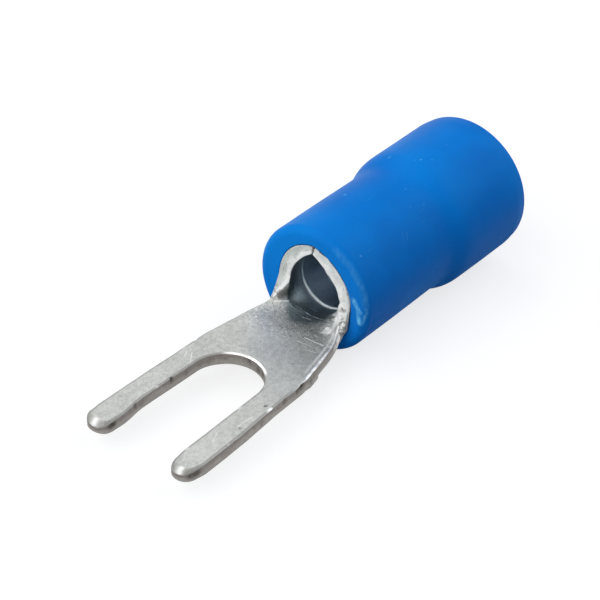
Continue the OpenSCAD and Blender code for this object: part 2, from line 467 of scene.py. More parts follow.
@dataclass(frozen=True)
class TinPlate:
    """Satin tin plating with a fine grain, forming marks at the bend, scratches, pitting, and painted
    shade, highlights and reflection.

    The mesh mark "dull" carries painted shade, and the mark "shine" burnish with painted highlights.

    Fields:
        light, grey: The plating's two shades, mixed as a mottle.
        pit, trough, inner, film: Pitting, with a painted shadow in the mouth's far corner; painted shade
            over the bend and in the barrel, also used for the pocks; a painted bluish reflection inside the
            barrel; painted shade on the fork's edges.
        bright: Scratches, burnish with painted highlights on the edges, crease, near root, first groove and
            tips, and painted glints.
        forming: Stretch along X over which the forming marks set in.
        inside: Stretch along X over which the plate turns to the inner colour, a painted bluish reflection.
        rough_low, rough_high, rough_grain, rough_crushed: Roughness of the plating, and what
            the grain and crushed metal add to it.
        crushed_metallic: How metallic crushed metal stays, kept low so that the near root's painted sheen
            shows bright.
        fine_depth, pressed_depth: Depth of the fine relief and of the forming marks.
        pits, scores: Single spots of pitting, with two wide strokes that paint the shadow in the mouth's
            far corner, and scratches, with one painted glint where the bend ends.
    """

    light: Colour = (0.485, 0.49, 0.475, 1.0)
    grey: Colour = (0.345, 0.355, 0.345, 1.0)
    pit_and_shadow: Colour = (0.09, 0.09, 0.09, 1.0)
    shade_in_hollows: Colour = (0.095, 0.150, 0.180, 1.0)
    inner: Colour = (0.40, 0.52, 0.60, 1.0)
    painted_edge_shade: Colour = (0.15, 0.145, 0.13, 1.0)
    bright: Colour = (0.96, 0.97, 0.97, 1.0)
    forming: Pair = (2.7, 3.9)
    inside: Pair = (5.5, 6.3)
    rough_low: float = 0.32
    rough_high: float = 0.44
    rough_grain: float = 0.06
    rough_crushed: float = 0.28
    crushed_metallic: float = 0.3
    fine_depth: float = 0.007
    pressed_depth: float = 0.03
    pits_and_shadow: tuple[Stroke, ...] = (
        plate_spot(-0.30, -2.31, 0.085, 0.95), plate_spot(-0.24, -2.34, 0.06, 0.9),
        plate_spot(2.82, 1.35, 0.06, 0.6), plate_spot(2.68, 0.46, 0.05, 0.6),
        plate_spot(1.91, 0.89, 0.05, 0.5), plate_spot(2.0, 1.28, 0.045, 0.5),
        plate_spot(2.36, -1.43, 0.05, 0.55), plate_spot(-3.46, 2.32, 0.11, 0.28),
        plate_spot(-3.60, 2.08, 0.09, 0.25), plate_spot(-1.92, -2.43, 0.09, 0.6),
        plate_spot(1.35, 2.18, 0.05, 0.4), plate_spot(0.42, 2.30, 0.05, 0.35),
        plate_spot(1.62, -1.05, 0.05, 0.4), plate_spot(3.05, -0.55, 0.05, 0.4),
        plate_spot(-2.2, 2.1, 0.1, 0.18), spot(4.95, -0.95, 0.60, 0.06, 0.7),
        # The two wide strokes below paint the shadow in the mouth's far corner.
        Stroke((5.08, 1.42, 1.05), (5.24, 1.20, 1.28), 0.26, 0.75),
        Stroke((5.30, 1.16, 1.10), (5.36, 1.10, 1.0), 0.14, 0.6),
    )
    scratches_and_glints: tuple[Stroke, ...] = (
        Stroke((3.99, -0.72, 0.55), (4.06, -1.66, 0.57), 0.028, 1.0),
        Stroke((3.64, -0.62, 0.55), (3.76, -1.62, 0.56), 0.018, 0.8),
        Stroke((3.30, -0.95, 0.55), (3.52, -1.70, 0.55), 0.016, 0.5),
        Stroke((4.38, -0.9, 0.56), (4.30, -1.35, 0.58), 0.018, 0.6),
        # A painted glint where the bend ends.
        Stroke((5.02, 0.22, 0.56), (5.10, -0.12, 0.56), 0.035, 0.9),
        Stroke((4.88, 1.58, 0.79), (5.24, 1.16, 0.80), 0.05, 0.45),
        Stroke((-0.06, 2.10, 0.55), (0.32, 2.28, 0.55), 0.03, 0.35),
        Stroke((0.38, 2.07, 0.55), (-0.10, 1.72, 0.55), 0.03, 0.35),
        Stroke((-1.1, -2.36, 0.55), (-1.9, -2.30, 0.55), 0.03, 0.3),
        Stroke((2.1, -1.2, 0.55), (2.5, -1.75, 0.55), 0.016, 0.35),
        Stroke((-3.2, -2.2, 0.55), (-2.7, -1.95, 0.55), 0.025, 0.25),
    )

    def material(self) -> bpy.types.Material:
        """Build the plating.

        Returns:
            The material.
        """
        bench = NodeBench("tin_plate")
        cloud = bench.noise((0.8, 0.8, 0.8), detail=4.0)
        mottle = bench.noise((5.0, 5.0, 5.0), detail=4.0, rough=0.65)
        grain = bench.noise((15.0, 15.0, 15.0), rough=0.65)
        pressed = bench.noise((9.0, 6.5, 6.5), detail=5.0, rough=0.75)
        formed = bench.span(bench.along(0), *self.forming)
        crushed = bench.times(bench.mark("shine"), formed)
        scratches_and_glints = bench.strokes(self.scratches_and_glints)
        specks = bench.span(bench.cells((2.6, 2.6, 2.6)), 0.035, 0.075, 0.55, 0.0)
        pits_and_shadow = bench.larger(specks, bench.strokes(self.pits_and_shadow))
        colour = self.shades(bench, cloud, mottle, grain)
        colour = self.forming_marks(bench, colour, mottle, pressed, formed)
        # Burnish with painted highlights, broken up by the mottle.
        worn_and_highlight = bench.times(bench.mark("shine"), bench.span(mottle, 0.34, 0.50, 0.45))
        colour = bench.mix(bench.larger(worn_and_highlight, scratches_and_glints), colour, self.bright)
        colour = bench.mix(pits_and_shadow, colour, self.pit_and_shadow)
        rough = bench.plus(bench.span(cloud, 0.3, 0.7, self.rough_low, self.rough_high),
                           bench.span(grain, 0.4, 0.7, 0.0, self.rough_grain))
        rough = bench.plus(rough, bench.times(crushed, self.rough_crushed))
        relief = bench.times(bench.plus(grain, mottle), 0.5)
        relief = bench.math("SUBTRACT", relief, bench.larger(pits_and_shadow, scratches_and_glints))
        fine = bench.bump(relief, self.fine_depth)
        normal = bench.bump(bench.times(pressed, formed), self.pressed_depth, fine)
        # Less metallic where crushed, so that the near root's painted sheen shows bright.
        metallic = bench.span(crushed, 0.0, 1.0, 1.0, self.crushed_metallic)
        return bench.finish(colour, rough, normal, metallic)

    def shades(self, bench: NodeBench, cloud: Socket, mottle: Socket, grain: Socket) -> Socket:
        """Mix the plating's two shades in large, middle and fine patches.

        Args:
            bench: The node tree.
            cloud: Noise of the large patches.
            mottle: Noise of the middle patches.
            grain: Noise of the fine patches.

        Returns:
            The colour socket.
        """
        share = bench.plus(bench.span(cloud, 0.36, 0.64, 0.0, 0.35),
                           bench.span(mottle, 0.40, 0.60, -0.1, 0.45))
        share = bench.plus(share, bench.span(grain, 0.42, 0.60, -0.1, 0.45))
        return bench.mix(share, self.light, self.grey)

    def forming_marks(self, bench: NodeBench, colour: Socket, mottle: Socket, pressed: Socket,
                      formed: Socket) -> Socket:
        """Lay pocks, painted glints and painted shade over the bend, and the painted bluish reflection
        inside the barrel.

        Args:
            bench: The node tree.
            colour: Colour of the plain plating.
            mottle: Noise that lets the dark places vary.
            pressed: Noise of the forming marks.
            formed: Where the sheet was formed, from 0 to 1.

        Returns:
            The colour socket.
        """
        pocks = bench.times(formed, bench.span(pressed, 0.52, 0.66, 0.0, 0.65))
        colour = bench.mix(pocks, colour, self.shade_in_hollows)
        glints = bench.times(formed, bench.span(pressed, 0.30, 0.42, 0.7, 0.0))
        colour = bench.mix(glints, colour, self.bright)
        # Painted shade over the bend, inside the barrel and on the fork's edges.
        dull = bench.times(bench.mark("dull"), bench.span(mottle, 0.3, 0.7, 0.95, 0.75))
        colour = bench.mix(dull, colour, bench.mix(formed, self.painted_edge_shade, self.shade_in_hollows))
        # Painted bluish reflection inside the barrel.
        return bench.mix(bench.span(bench.along(0), *self.inside, 0.0, 0.85), colour, self.inner)


@dataclass(frozen=True)
class ShearedMetal:
    """The sheet's cut side: a dark burnished zone above, darker also as painted shade under the rolled-over
    edge, and a paler torn zone below.

    Fields:
        torn, burnished, hollow: The two zones, the upper one partly painted shade, and the bottoms of the
            nicks.
        polished: The neck's end, which the barrel squeezed.
        squeezed: Stretch along X over which the polished end sets in.
        rough: Roughness.
        drag_depth, grit_depth: Depth of the drag marks and of the fine relief.
    """

    torn: Colour = (0.33, 0.315, 0.295, 1.0)
    burnished: Colour = (0.185, 0.165, 0.15, 1.0)
    hollow: Colour = (0.04, 0.035, 0.03, 1.0)
    polished: Colour = (0.72, 0.72, 0.70, 1.0)
    squeezed: Pair = (4.3, 4.85)
    rough: float = 0.46
    drag_depth: float = 0.03
    grit_depth: float = 0.008

    def material(self) -> bpy.types.Material:
        """Build the cut side.

        Returns:
            The material.
        """
        bench = NodeBench("sheared_side")
        drag = bench.noise((3.4, 3.4, 3.0), detail=5.0, rough=0.7)
        patch = bench.noise((0.9, 0.9, 1.6), detail=4.0, rough=0.6)
        grit = bench.noise((14.0, 14.0, 14.0), rough=0.6)
        # Darker towards the top: the burnished zone, partly painted shade under the rolled-over edge.
        edge = bench.plus(bench.mark("level"), bench.span(patch, 0.3, 0.7, -0.38, 0.38))
        share = bench.plus(bench.span(edge, 0.38, 0.72, 0.05, 0.62),
                           bench.span(drag, 0.38, 0.64, 0.0, 0.30))
        share = bench.plus(share, bench.span(grit, 0.4, 0.65, 0.0, 0.15))
        colour = bench.mix(share, self.torn, self.burnished)
        nick = bench.times(bench.mark("nick"), bench.span(grit, 0.35, 0.6, 0.7))
        colour = bench.mix(nick, colour, self.hollow)
        place = bench.plus(bench.along(0), bench.span(drag, 0.35, 0.65, -0.2, 0.2))
        colour = bench.mix(bench.span(place, *self.squeezed, 0.0, 0.9), colour, self.polished)
        normal = bench.bump(drag, self.drag_depth, bench.bump(grit, self.grit_depth))
        return bench.finish(colour, self.rough, normal, 1.0)


@dataclass(frozen=True)
class FrontEdgeMetal:
    """The barrel's front edge: cut metal made near-white as a painted highlight, greyer towards the
    outside, with nicks.

    Fields:
        bright, grey, dark: The inner part, near-white as a painted highlight, the outer part, and the nicks
            and torn places.
        rough, metallic, gloss: The shader's values; metallic is kept low so that the near-white colour
            shows as a painted highlight.
        grey_side: Stretch along Y over which the grey gains strength.
        torn_height: Heights between which the edge turns ragged, towards the tongue.
        patch_depth, fine_depth: Depth of the coarse and of the fine relief.
        nicks: Single nicks.
    """

    bright: Colour = (0.96, 0.97, 0.96, 1.0)
    grey: Colour = (0.62, 0.67, 0.63, 1.0)
    dark: Colour = (0.13, 0.12, 0.09, 1.0)
    rough: float = 0.42
    metallic: float = 0.15
    gloss: float = 0.3
    grey_side: Pair = (-0.6, 0.5)
    torn_height: Pair = (1.5, 1.2)
    patch_depth: float = 0.06
    fine_depth: float = 0.05
    nicks: tuple[Stroke, ...] = (
        Stroke((5.25, -1.60, 1.72), (5.25, -1.72, 1.62), 0.07, 0.9),
        Stroke((5.25, -1.50, 1.66), (5.25, -1.58, 1.60), 0.05, 0.6),
        spot(5.2, -1.57, 0.80, 0.08, 0.7), spot(5.1, -1.60, 0.62, 0.06, 0.6),
        spot(5.0, -1.72, 0.45, 0.07, 0.6), spot(5.25, -1.70, 1.05, 0.05, 0.5),
        Stroke((5.25, -1.52, 1.58), (5.25, -1.78, 1.70), 0.10, 0.55),
        Stroke((5.24, -1.60, 1.12), (5.22, -1.80, 1.05), 0.08, 0.6),
        Stroke((5.27, 0.55, 3.38), (5.27, 0.75, 3.30), 0.04, 0.5),
        Stroke((5.27, 1.45, 2.3), (5.27, 1.50, 2.1), 0.04, 0.45),
        spot(5.27, 1.62, 1.6, 0.05, 0.4), spot(5.27, -1.0, 3.2, 0.04, 0.35),
    )

    def material(self) -> bpy.types.Material:
        """Build the front edge.

        Returns:
            The material.
        """
        bench = NodeBench("front_edge")
        patch = bench.noise((2.6, 2.6, 2.6), detail=4.0, rough=0.65)
        fine = bench.noise((9.0, 9.0, 9.0), detail=4.0, rough=0.65)
        inner = bench.plus(bench.mark("level"), bench.span(patch, 0.3, 0.7, -0.4, 0.4))
        outer = bench.times(bench.span(inner, 0.35, 0.75, 1.0, 0.0),
                            bench.span(bench.along(1), *self.grey_side, 0.35, 0.9))
        colour = bench.mix(outer, self.bright, self.grey)
        flaws = bench.span(fine, 0.60, 0.72, 0.0, 0.6)
        torn = bench.times(bench.span(bench.along(2), *self.torn_height, 0.0, 0.75),
                           bench.span(bench.noise((5.0, 5.0, 5.0)), 0.50, 0.60))
        marks = bench.larger(bench.strokes(self.nicks), bench.larger(flaws, torn))
        colour = bench.mix(marks, colour, self.dark)
        normal = bench.bump(fine, self.fine_depth, bench.bump(patch, self.patch_depth))
        bench.shader.inputs["Specular IOR Level"].default_value = self.gloss
        return bench.finish(colour, self.rough, normal, self.metallic)


@dataclass(frozen=True)
class BlueVinyl:
    """Soft vinyl with a satin skin, a faint orange peel, faint light streaks, painted glints on the front
    rim and light dust.

    Fields:
        body, deep, rubbed: The vinyl's two shades, and the light cyan of the painted glints, the dust and
            the faint streaks.
        rough, rough_swing: Middle of the roughness and how far the grain moves it.
        rough_streak, rough_below: What streaks and the sleeve's lower side add to it.
        lower_side: Heights between which the lower side's roughness sets in.
        gloss, ior: The shader's mirror values.
        peel_depth, grain_depth: Depth of the orange peel and of the fine grain.
        glints_and_dust: Single painted glints and soft painted highlights on the front rim, and dust
            specks.
    """

    body: Colour = (0.003, 0.232, 0.755, 1.0)
    deep: Colour = (0.003, 0.180, 0.65, 1.0)
    glint_and_dust_tone: Colour = (0.16, 0.56, 0.90, 1.0)
    rough: float = 0.40
    rough_swing: float = 0.05
    rough_streak: float = 0.12
    rough_below: float = 0.35
    lower_side: Pair = (1.9, -0.3)
    gloss: float = 0.04
    ior: float = 1.5
    peel_depth: float = 0.008
    grain_depth: float = 0.0025
    glints_and_dust: tuple[Stroke, ...] = (
        # Painted glints and soft painted highlights on the front rim, then small marks and dust specks.
        Stroke((5.30, -2.12, 2.35), (5.32, -2.44, 1.90), 0.16, 0.95),
        Stroke((5.32, -2.36, 1.85), (5.32, -2.44, 1.35), 0.13, 1.0),
        Stroke((5.42, -2.70, 2.10), (5.42, -2.70, 1.86), 0.09, 0.6),
        Stroke((5.40, -2.66, 1.78), (5.36, -2.50, 1.34), 0.12, 0.55),
        Stroke((5.33, -2.30, 3.22), (5.36, -2.44, 3.04), 0.13, 0.45),
        Stroke((5.40, -1.90, 3.72), (5.40, -2.40, 3.10), 0.20, 0.20),
        Stroke((5.40, -1.1, 4.2), (5.40, -1.8, 3.80), 0.20, 0.18),
        Stroke((5.40, -2.5, 2.9), (5.42, -2.66, 2.2), 0.20, 0.25),
        Stroke((8.79, -2.06, 3.75), (8.62, -2.24, 3.54), 0.03, 0.3),
        Stroke((8.60, -1.98, 3.83), (8.46, -2.16, 3.64), 0.025, 0.2),
        round_spot(8.44, 162, 2.82, 0.10, 0.8), round_spot(11.64, 160, 3.05, 0.10, 0.6),
        round_spot(12.04, -175, 3.12, 0.07, 0.7), round_spot(11.85, -178, 3.1, 0.06, 0.35),
        round_spot(12.39, -169, 3.13, 0.06, 0.4), round_spot(13.69, -173, 3.14, 0.07, 0.35),
        round_spot(10.59, -179, 2.84, 0.06, 0.4), round_spot(10.74, -174, 2.86, 0.06, 0.3),
        round_spot(10.34, -164, 2.83, 0.07, 0.3), round_spot(10.44, -144, 2.84, 0.07, 0.3),
        round_spot(9.79, -149, 2.82, 0.06, 0.25), round_spot(6.04, -139, 2.82, 0.07, 0.6),
    )

    def material(self) -> bpy.types.Material:
        """Build the vinyl.

        Returns:
            The material.
        """
        bench = NodeBench("blue_vinyl")
        cloud = bench.noise((0.22, 0.22, 0.22), rough=0.5)
        peel = bench.noise((1.5, 1.5, 1.5), detail=2.0, rough=0.5)
        grain = bench.noise((11.0, 11.0, 11.0), rough=0.6)
        streak = bench.noise((0.8, 7.0, 7.0), detail=4.0, rough=0.7)
        stroke_break = bench.noise((7.0, 9.0, 3.0), detail=4.0, rough=0.7)
        dust = bench.span(bench.cells((0.75, 0.75, 0.75)), 0.016, 0.030, 0.5, 0.0)
        # Painted glints on the front rim and dust specks, broken up by noise.
        glints_and_dust = bench.times(bench.strokes(self.glints_and_dust), bench.span(stroke_break, 0.40, 0.60, 0.25))
        faint = bench.span(streak, 0.64, 0.74, 0.0, 0.10)
        colour = bench.mix(bench.span(cloud, 0.38, 0.62), self.body, self.deep)
        marks = bench.larger(glints_and_dust, bench.larger(dust, faint))
        colour = bench.mix(marks, colour, self.glint_and_dust_tone)
        low, high = self.rough - self.rough_swing, self.rough + self.rough_swing
        rough = bench.plus(bench.span(streak, 0.5, 0.72, 0.0, self.rough_streak),
                           bench.span(grain, 0.3, 0.7, low, high))
        below = bench.span(bench.along(2), *self.lower_side, 0.0, self.rough_below)
        rough = bench.plus(rough, below)
        normal = bench.bump(peel, self.peel_depth, bench.bump(grain, self.grain_depth))
        bench.shader.inputs["Specular IOR Level"].default_value = self.gloss
        bench.shader.inputs["IOR"].default_value = self.ior
        return bench.finish(colour, rough, normal, 0.0)


@dataclass
class SheetShell:
    """A thin sheet given thickness, with rounded and slightly ragged cut edges.

    Fields:
        under: Points of the lower face's flat part, in millimetres.
        upper: Points of the upper face's flat part.
        low_corner: Where each rim point's outline stands on the lower face.
        high_corner: Where each rim point's outline stands on the upper face.
        drop: How far down the upper edge's rounding reaches at each point.
        low_round: Radius of the lower edge's rounding at each point.
        rough_edge: Depth of the cut side's raggedness at each point.
        chip: How far the upper edge is chipped back at most at each point.
        tones: Numbers that the points carry, by name: on the upper face and on its edge.
        quads: Faces of the sheet as rows of four, anticlockwise over the upper face.
        surface_of_edge: Kind of surface of the cut edge at each sheet point.
        nicks: Small dents in the cut side.
        arc_steps: Steps of each rounding.
        wall_steps: Steps of the cut side between the roundings.
        arc_level: Height at which the upper rounding meets the nicks.
        drag: Stretch of the raggedness, which runs longer down the sheet.
    """

    under: np.ndarray
    upper: np.ndarray
    low_corner: np.ndarray
    high_corner: np.ndarray
    drop: np.ndarray
    low_round: np.ndarray
    rough_edge: np.ndarray
    chip: np.ndarray
    tones: dict[str, tuple[np.ndarray, np.ndarray]]
    quads: np.ndarray
    surface_of_edge: np.ndarray
    nicks: tuple[Nick, ...]
    arc_steps: int = 7
    wall_steps: int = 9
    arc_level: float = 0.95
    drag: Triple = (1.0, 1.0, 0.35)

    def rim(self) -> list[int]:
        """Walk round the free edge of the sheet.

        Returns:
            The sheet points on the edge, in the order that their faces run.
        """
        follow: dict[int, int] = {}
        seen: set[tuple[int, int]] = set()
        for quad in self.quads.tolist():
            for a, b in zip(quad, quad[1:] + quad[:1]):
                seen.add((a, b))
        for a, b in seen:
            if (b, a) not in seen:
                follow[a] = b
        start = min(follow)
        loop = [start]
        while follow[loop[-1]] != start:
            loop.append(follow[loop[-1]])
        return loop

    def nicked(self, row: np.ndarray, level: float) -> tuple[np.ndarray, np.ndarray]:
        """Depth of the nicks along one line of the cut side.

        Args:
            row: Points of the line.
            level: Height of the line in the sheet, 1 at the upper face.

        Returns:
            How far each point moves inwards, and how dark the nick is there.
        """
        depth, shade = np.zeros(len(row)), np.zeros(len(row))
        for nick in self.nicks:
            away = np.hypot(row[:, 0] - nick.place[0], row[:, 1] - nick.place[1]) / nick.radius
            near = np.maximum(1.0 - away ** 2, 0.0) ** 1.5 * bell(level, nick.level, nick.spread)
            depth += nick.depth * near
            shade = np.maximum(shade, np.clip(1.6 * near, 0.0, 1.0) * nick.shade)
        return depth, shade

    def edge_lines(self, loop: list[int]) -> list[tuple[np.ndarray, float, np.ndarray]]:
        """Lay lines of points along the cut edge, from the upper face to the lower one.

        Args:
            loop: Sheet points on the free edge.

        Returns:
            For each line its points, its height in the sheet, and how dark the nicks are there.
        """
        grit, wide, flake = SmoothNoise(11, 0.2), SmoothNoise(12, 0.9), SmoothNoise(13, 0.42)
        top, low = self.high_corner[loop], self.low_corner[loop]
        reach = top - self.upper[loop]
        size = np.linalg.norm(reach, axis=1)
        out = reach / size[:, None]
        through = top - low
        thick = np.linalg.norm(through, axis=1)
        through /= thick[:, None]
        back = np.minimum(self.chip[loop] * np.clip(flake.at(top), 0.0, 1.5), 0.7 * size)
        reach *= (1.0 - back / size)[:, None]
        drop = self.drop[loop] * np.clip(1.0 + 0.15 * wide.at(top), 0.6, 1.4)
        low_r = self.low_round[loop] * (1.0 + 0.25 * wide.at(low + 7.0))
        lines = []
        for k in range(1, self.arc_steps + 1):
            a = 0.5 * math.pi * k / self.arc_steps
            line = self.upper[loop] + reach * math.sin(a)
            line -= (drop * (1.0 - math.cos(a)))[:, None] * through
            dent, shade = self.nicked(line, self.arc_level)
            lines.append((line - (dent * math.sin(a))[:, None] * out, 1.0, shade))
        wall = thick - drop - low_r
        for k in range(1, self.wall_steps):
            u = k / self.wall_steps
            line = top - (drop + wall * u)[:, None] * through
            dent, shade = self.nicked(line, 1.0 - u)
            ragged = self.rough_edge[loop] * np.abs(grit.at(line * np.array(self.drag)))
            ragged *= math.sin(math.pi * u) ** 0.7
            lines.append((line - (dent + ragged + back * (1.0 - u))[:, None] * out, 1.0 - u, shade))
        for k in range(self.arc_steps, -1, -1):
            a = 0.5 * math.pi * k / self.arc_steps
            inwards, upwards = low_r * (1.0 - math.sin(a)), low_r * (1.0 - math.cos(a))
            line = low - inwards[:, None] * out + upwards[:, None] * through
            lines.append((line, 0.0, np.zeros(len(loop))))
        return lines

    def build(self) -> tuple[np.ndarray, list[Face], list[int], dict[str, np.ndarray]]:
        """Thicken the sheet.

        Returns:
            The points, the faces, the kind of surface of each face and the numbers that the
            points carry.
        """
        loop = self.rim()
        lines = self.edge_lines(loop)
        count, ring = len(self.under), len(loop)
        points = np.vstack([self.under, self.upper, *[line for line, _, _ in lines]])
        level = [np.full(ring, height) for _, height, _ in lines]
        carried = {"level": np.concatenate([np.zeros(count), np.ones(count), *level]),
                   "nick": np.concatenate([np.zeros(2 * count), *[shade for _, _, shade in lines]])}
        rest = np.zeros(ring * (len(lines) - self.arc_steps))
        for name, (face, edge) in self.tones.items():
            carried[name] = np.concatenate([np.zeros(count), face, *[edge[loop]] * self.arc_steps, rest])
        faces, kinds = self.faces(loop, len(lines))
        return points, faces, kinds, carried

    def faces(self, loop: list[int], rows: int) -> tuple[list[Face], list[int]]:
        """Faces of the two sides and of the rounded edge between them.

        Args:
            loop: Sheet points on the free edge.
            rows: Number of rows of points laid along the edge.

        Returns:
            The faces and the kind of surface of each.
        """
        count, ring = len(self.under), len(loop)
        faces: list[Face] = []
        kinds: list[int] = []
        for a, b, c, d in self.quads.tolist():
            faces.append((d, c, b, a))
            faces.append((count + a, count + b, count + c, count + d))
            kinds += [Surface.PLATE.value, Surface.PLATE.value]
        chain = [[count + i for i in loop]]
        chain += [[2 * count + k * ring + i for i in range(ring)] for k in range(rows)]
        chain += [list(loop)]
        for k in range(len(chain) - 1):
            rounding = k < self.arc_steps - 1 or k >= len(chain) - 1 - self.arc_steps
            for i in range(ring):
                j = (i + 1) % ring
                faces.append((chain[k][i], chain[k + 1][i], chain[k + 1][j], chain[k][j]))
                kind = int(self.surface_of_edge[loop[i]])
                if rounding and kind == Surface.SHEARED.value:
                    kind = Surface.PLATE.value
                kinds.append(kind)
        return faces, kinds


def make_piece(name: str, points: np.ndarray, faces: list[Face], kinds: list[int],
               carried: dict[str, np.ndarray], materials: list[bpy.types.Material]) -> bpy.types.Object:
    """Make a smooth-shaded object from points in millimetres.

    Args:
        name: Name of the piece.
        points: Points in millimetres, one row each.
        faces: Faces as tuples of point numbers.
        kinds: Material slot of each face.
        carried: Numbers that the points carry for the materials, by name.
        materials: The piece's material slots.

    Returns:
        The new object, linked to the scene.
    """
    mesh = bpy.data.meshes.new(name)
    mesh.from_pydata((points * MM).tolist(), [], faces)
    for material in materials:
        mesh.materials.append(material)
    mesh.polygons.foreach_set("material_index", kinds)
    mesh.polygons.foreach_set("use_smooth", [True] * len(faces))
    mesh.validate()
    for key, numbers in carried.items():
        mesh.attributes.new(key, "FLOAT", "POINT").data.foreach_set("value", numbers.tolist())
    mesh.update()
    made = bpy.data.objects.new(name, mesh)
    bpy.context.scene.collection.objects.link(made)
    return made


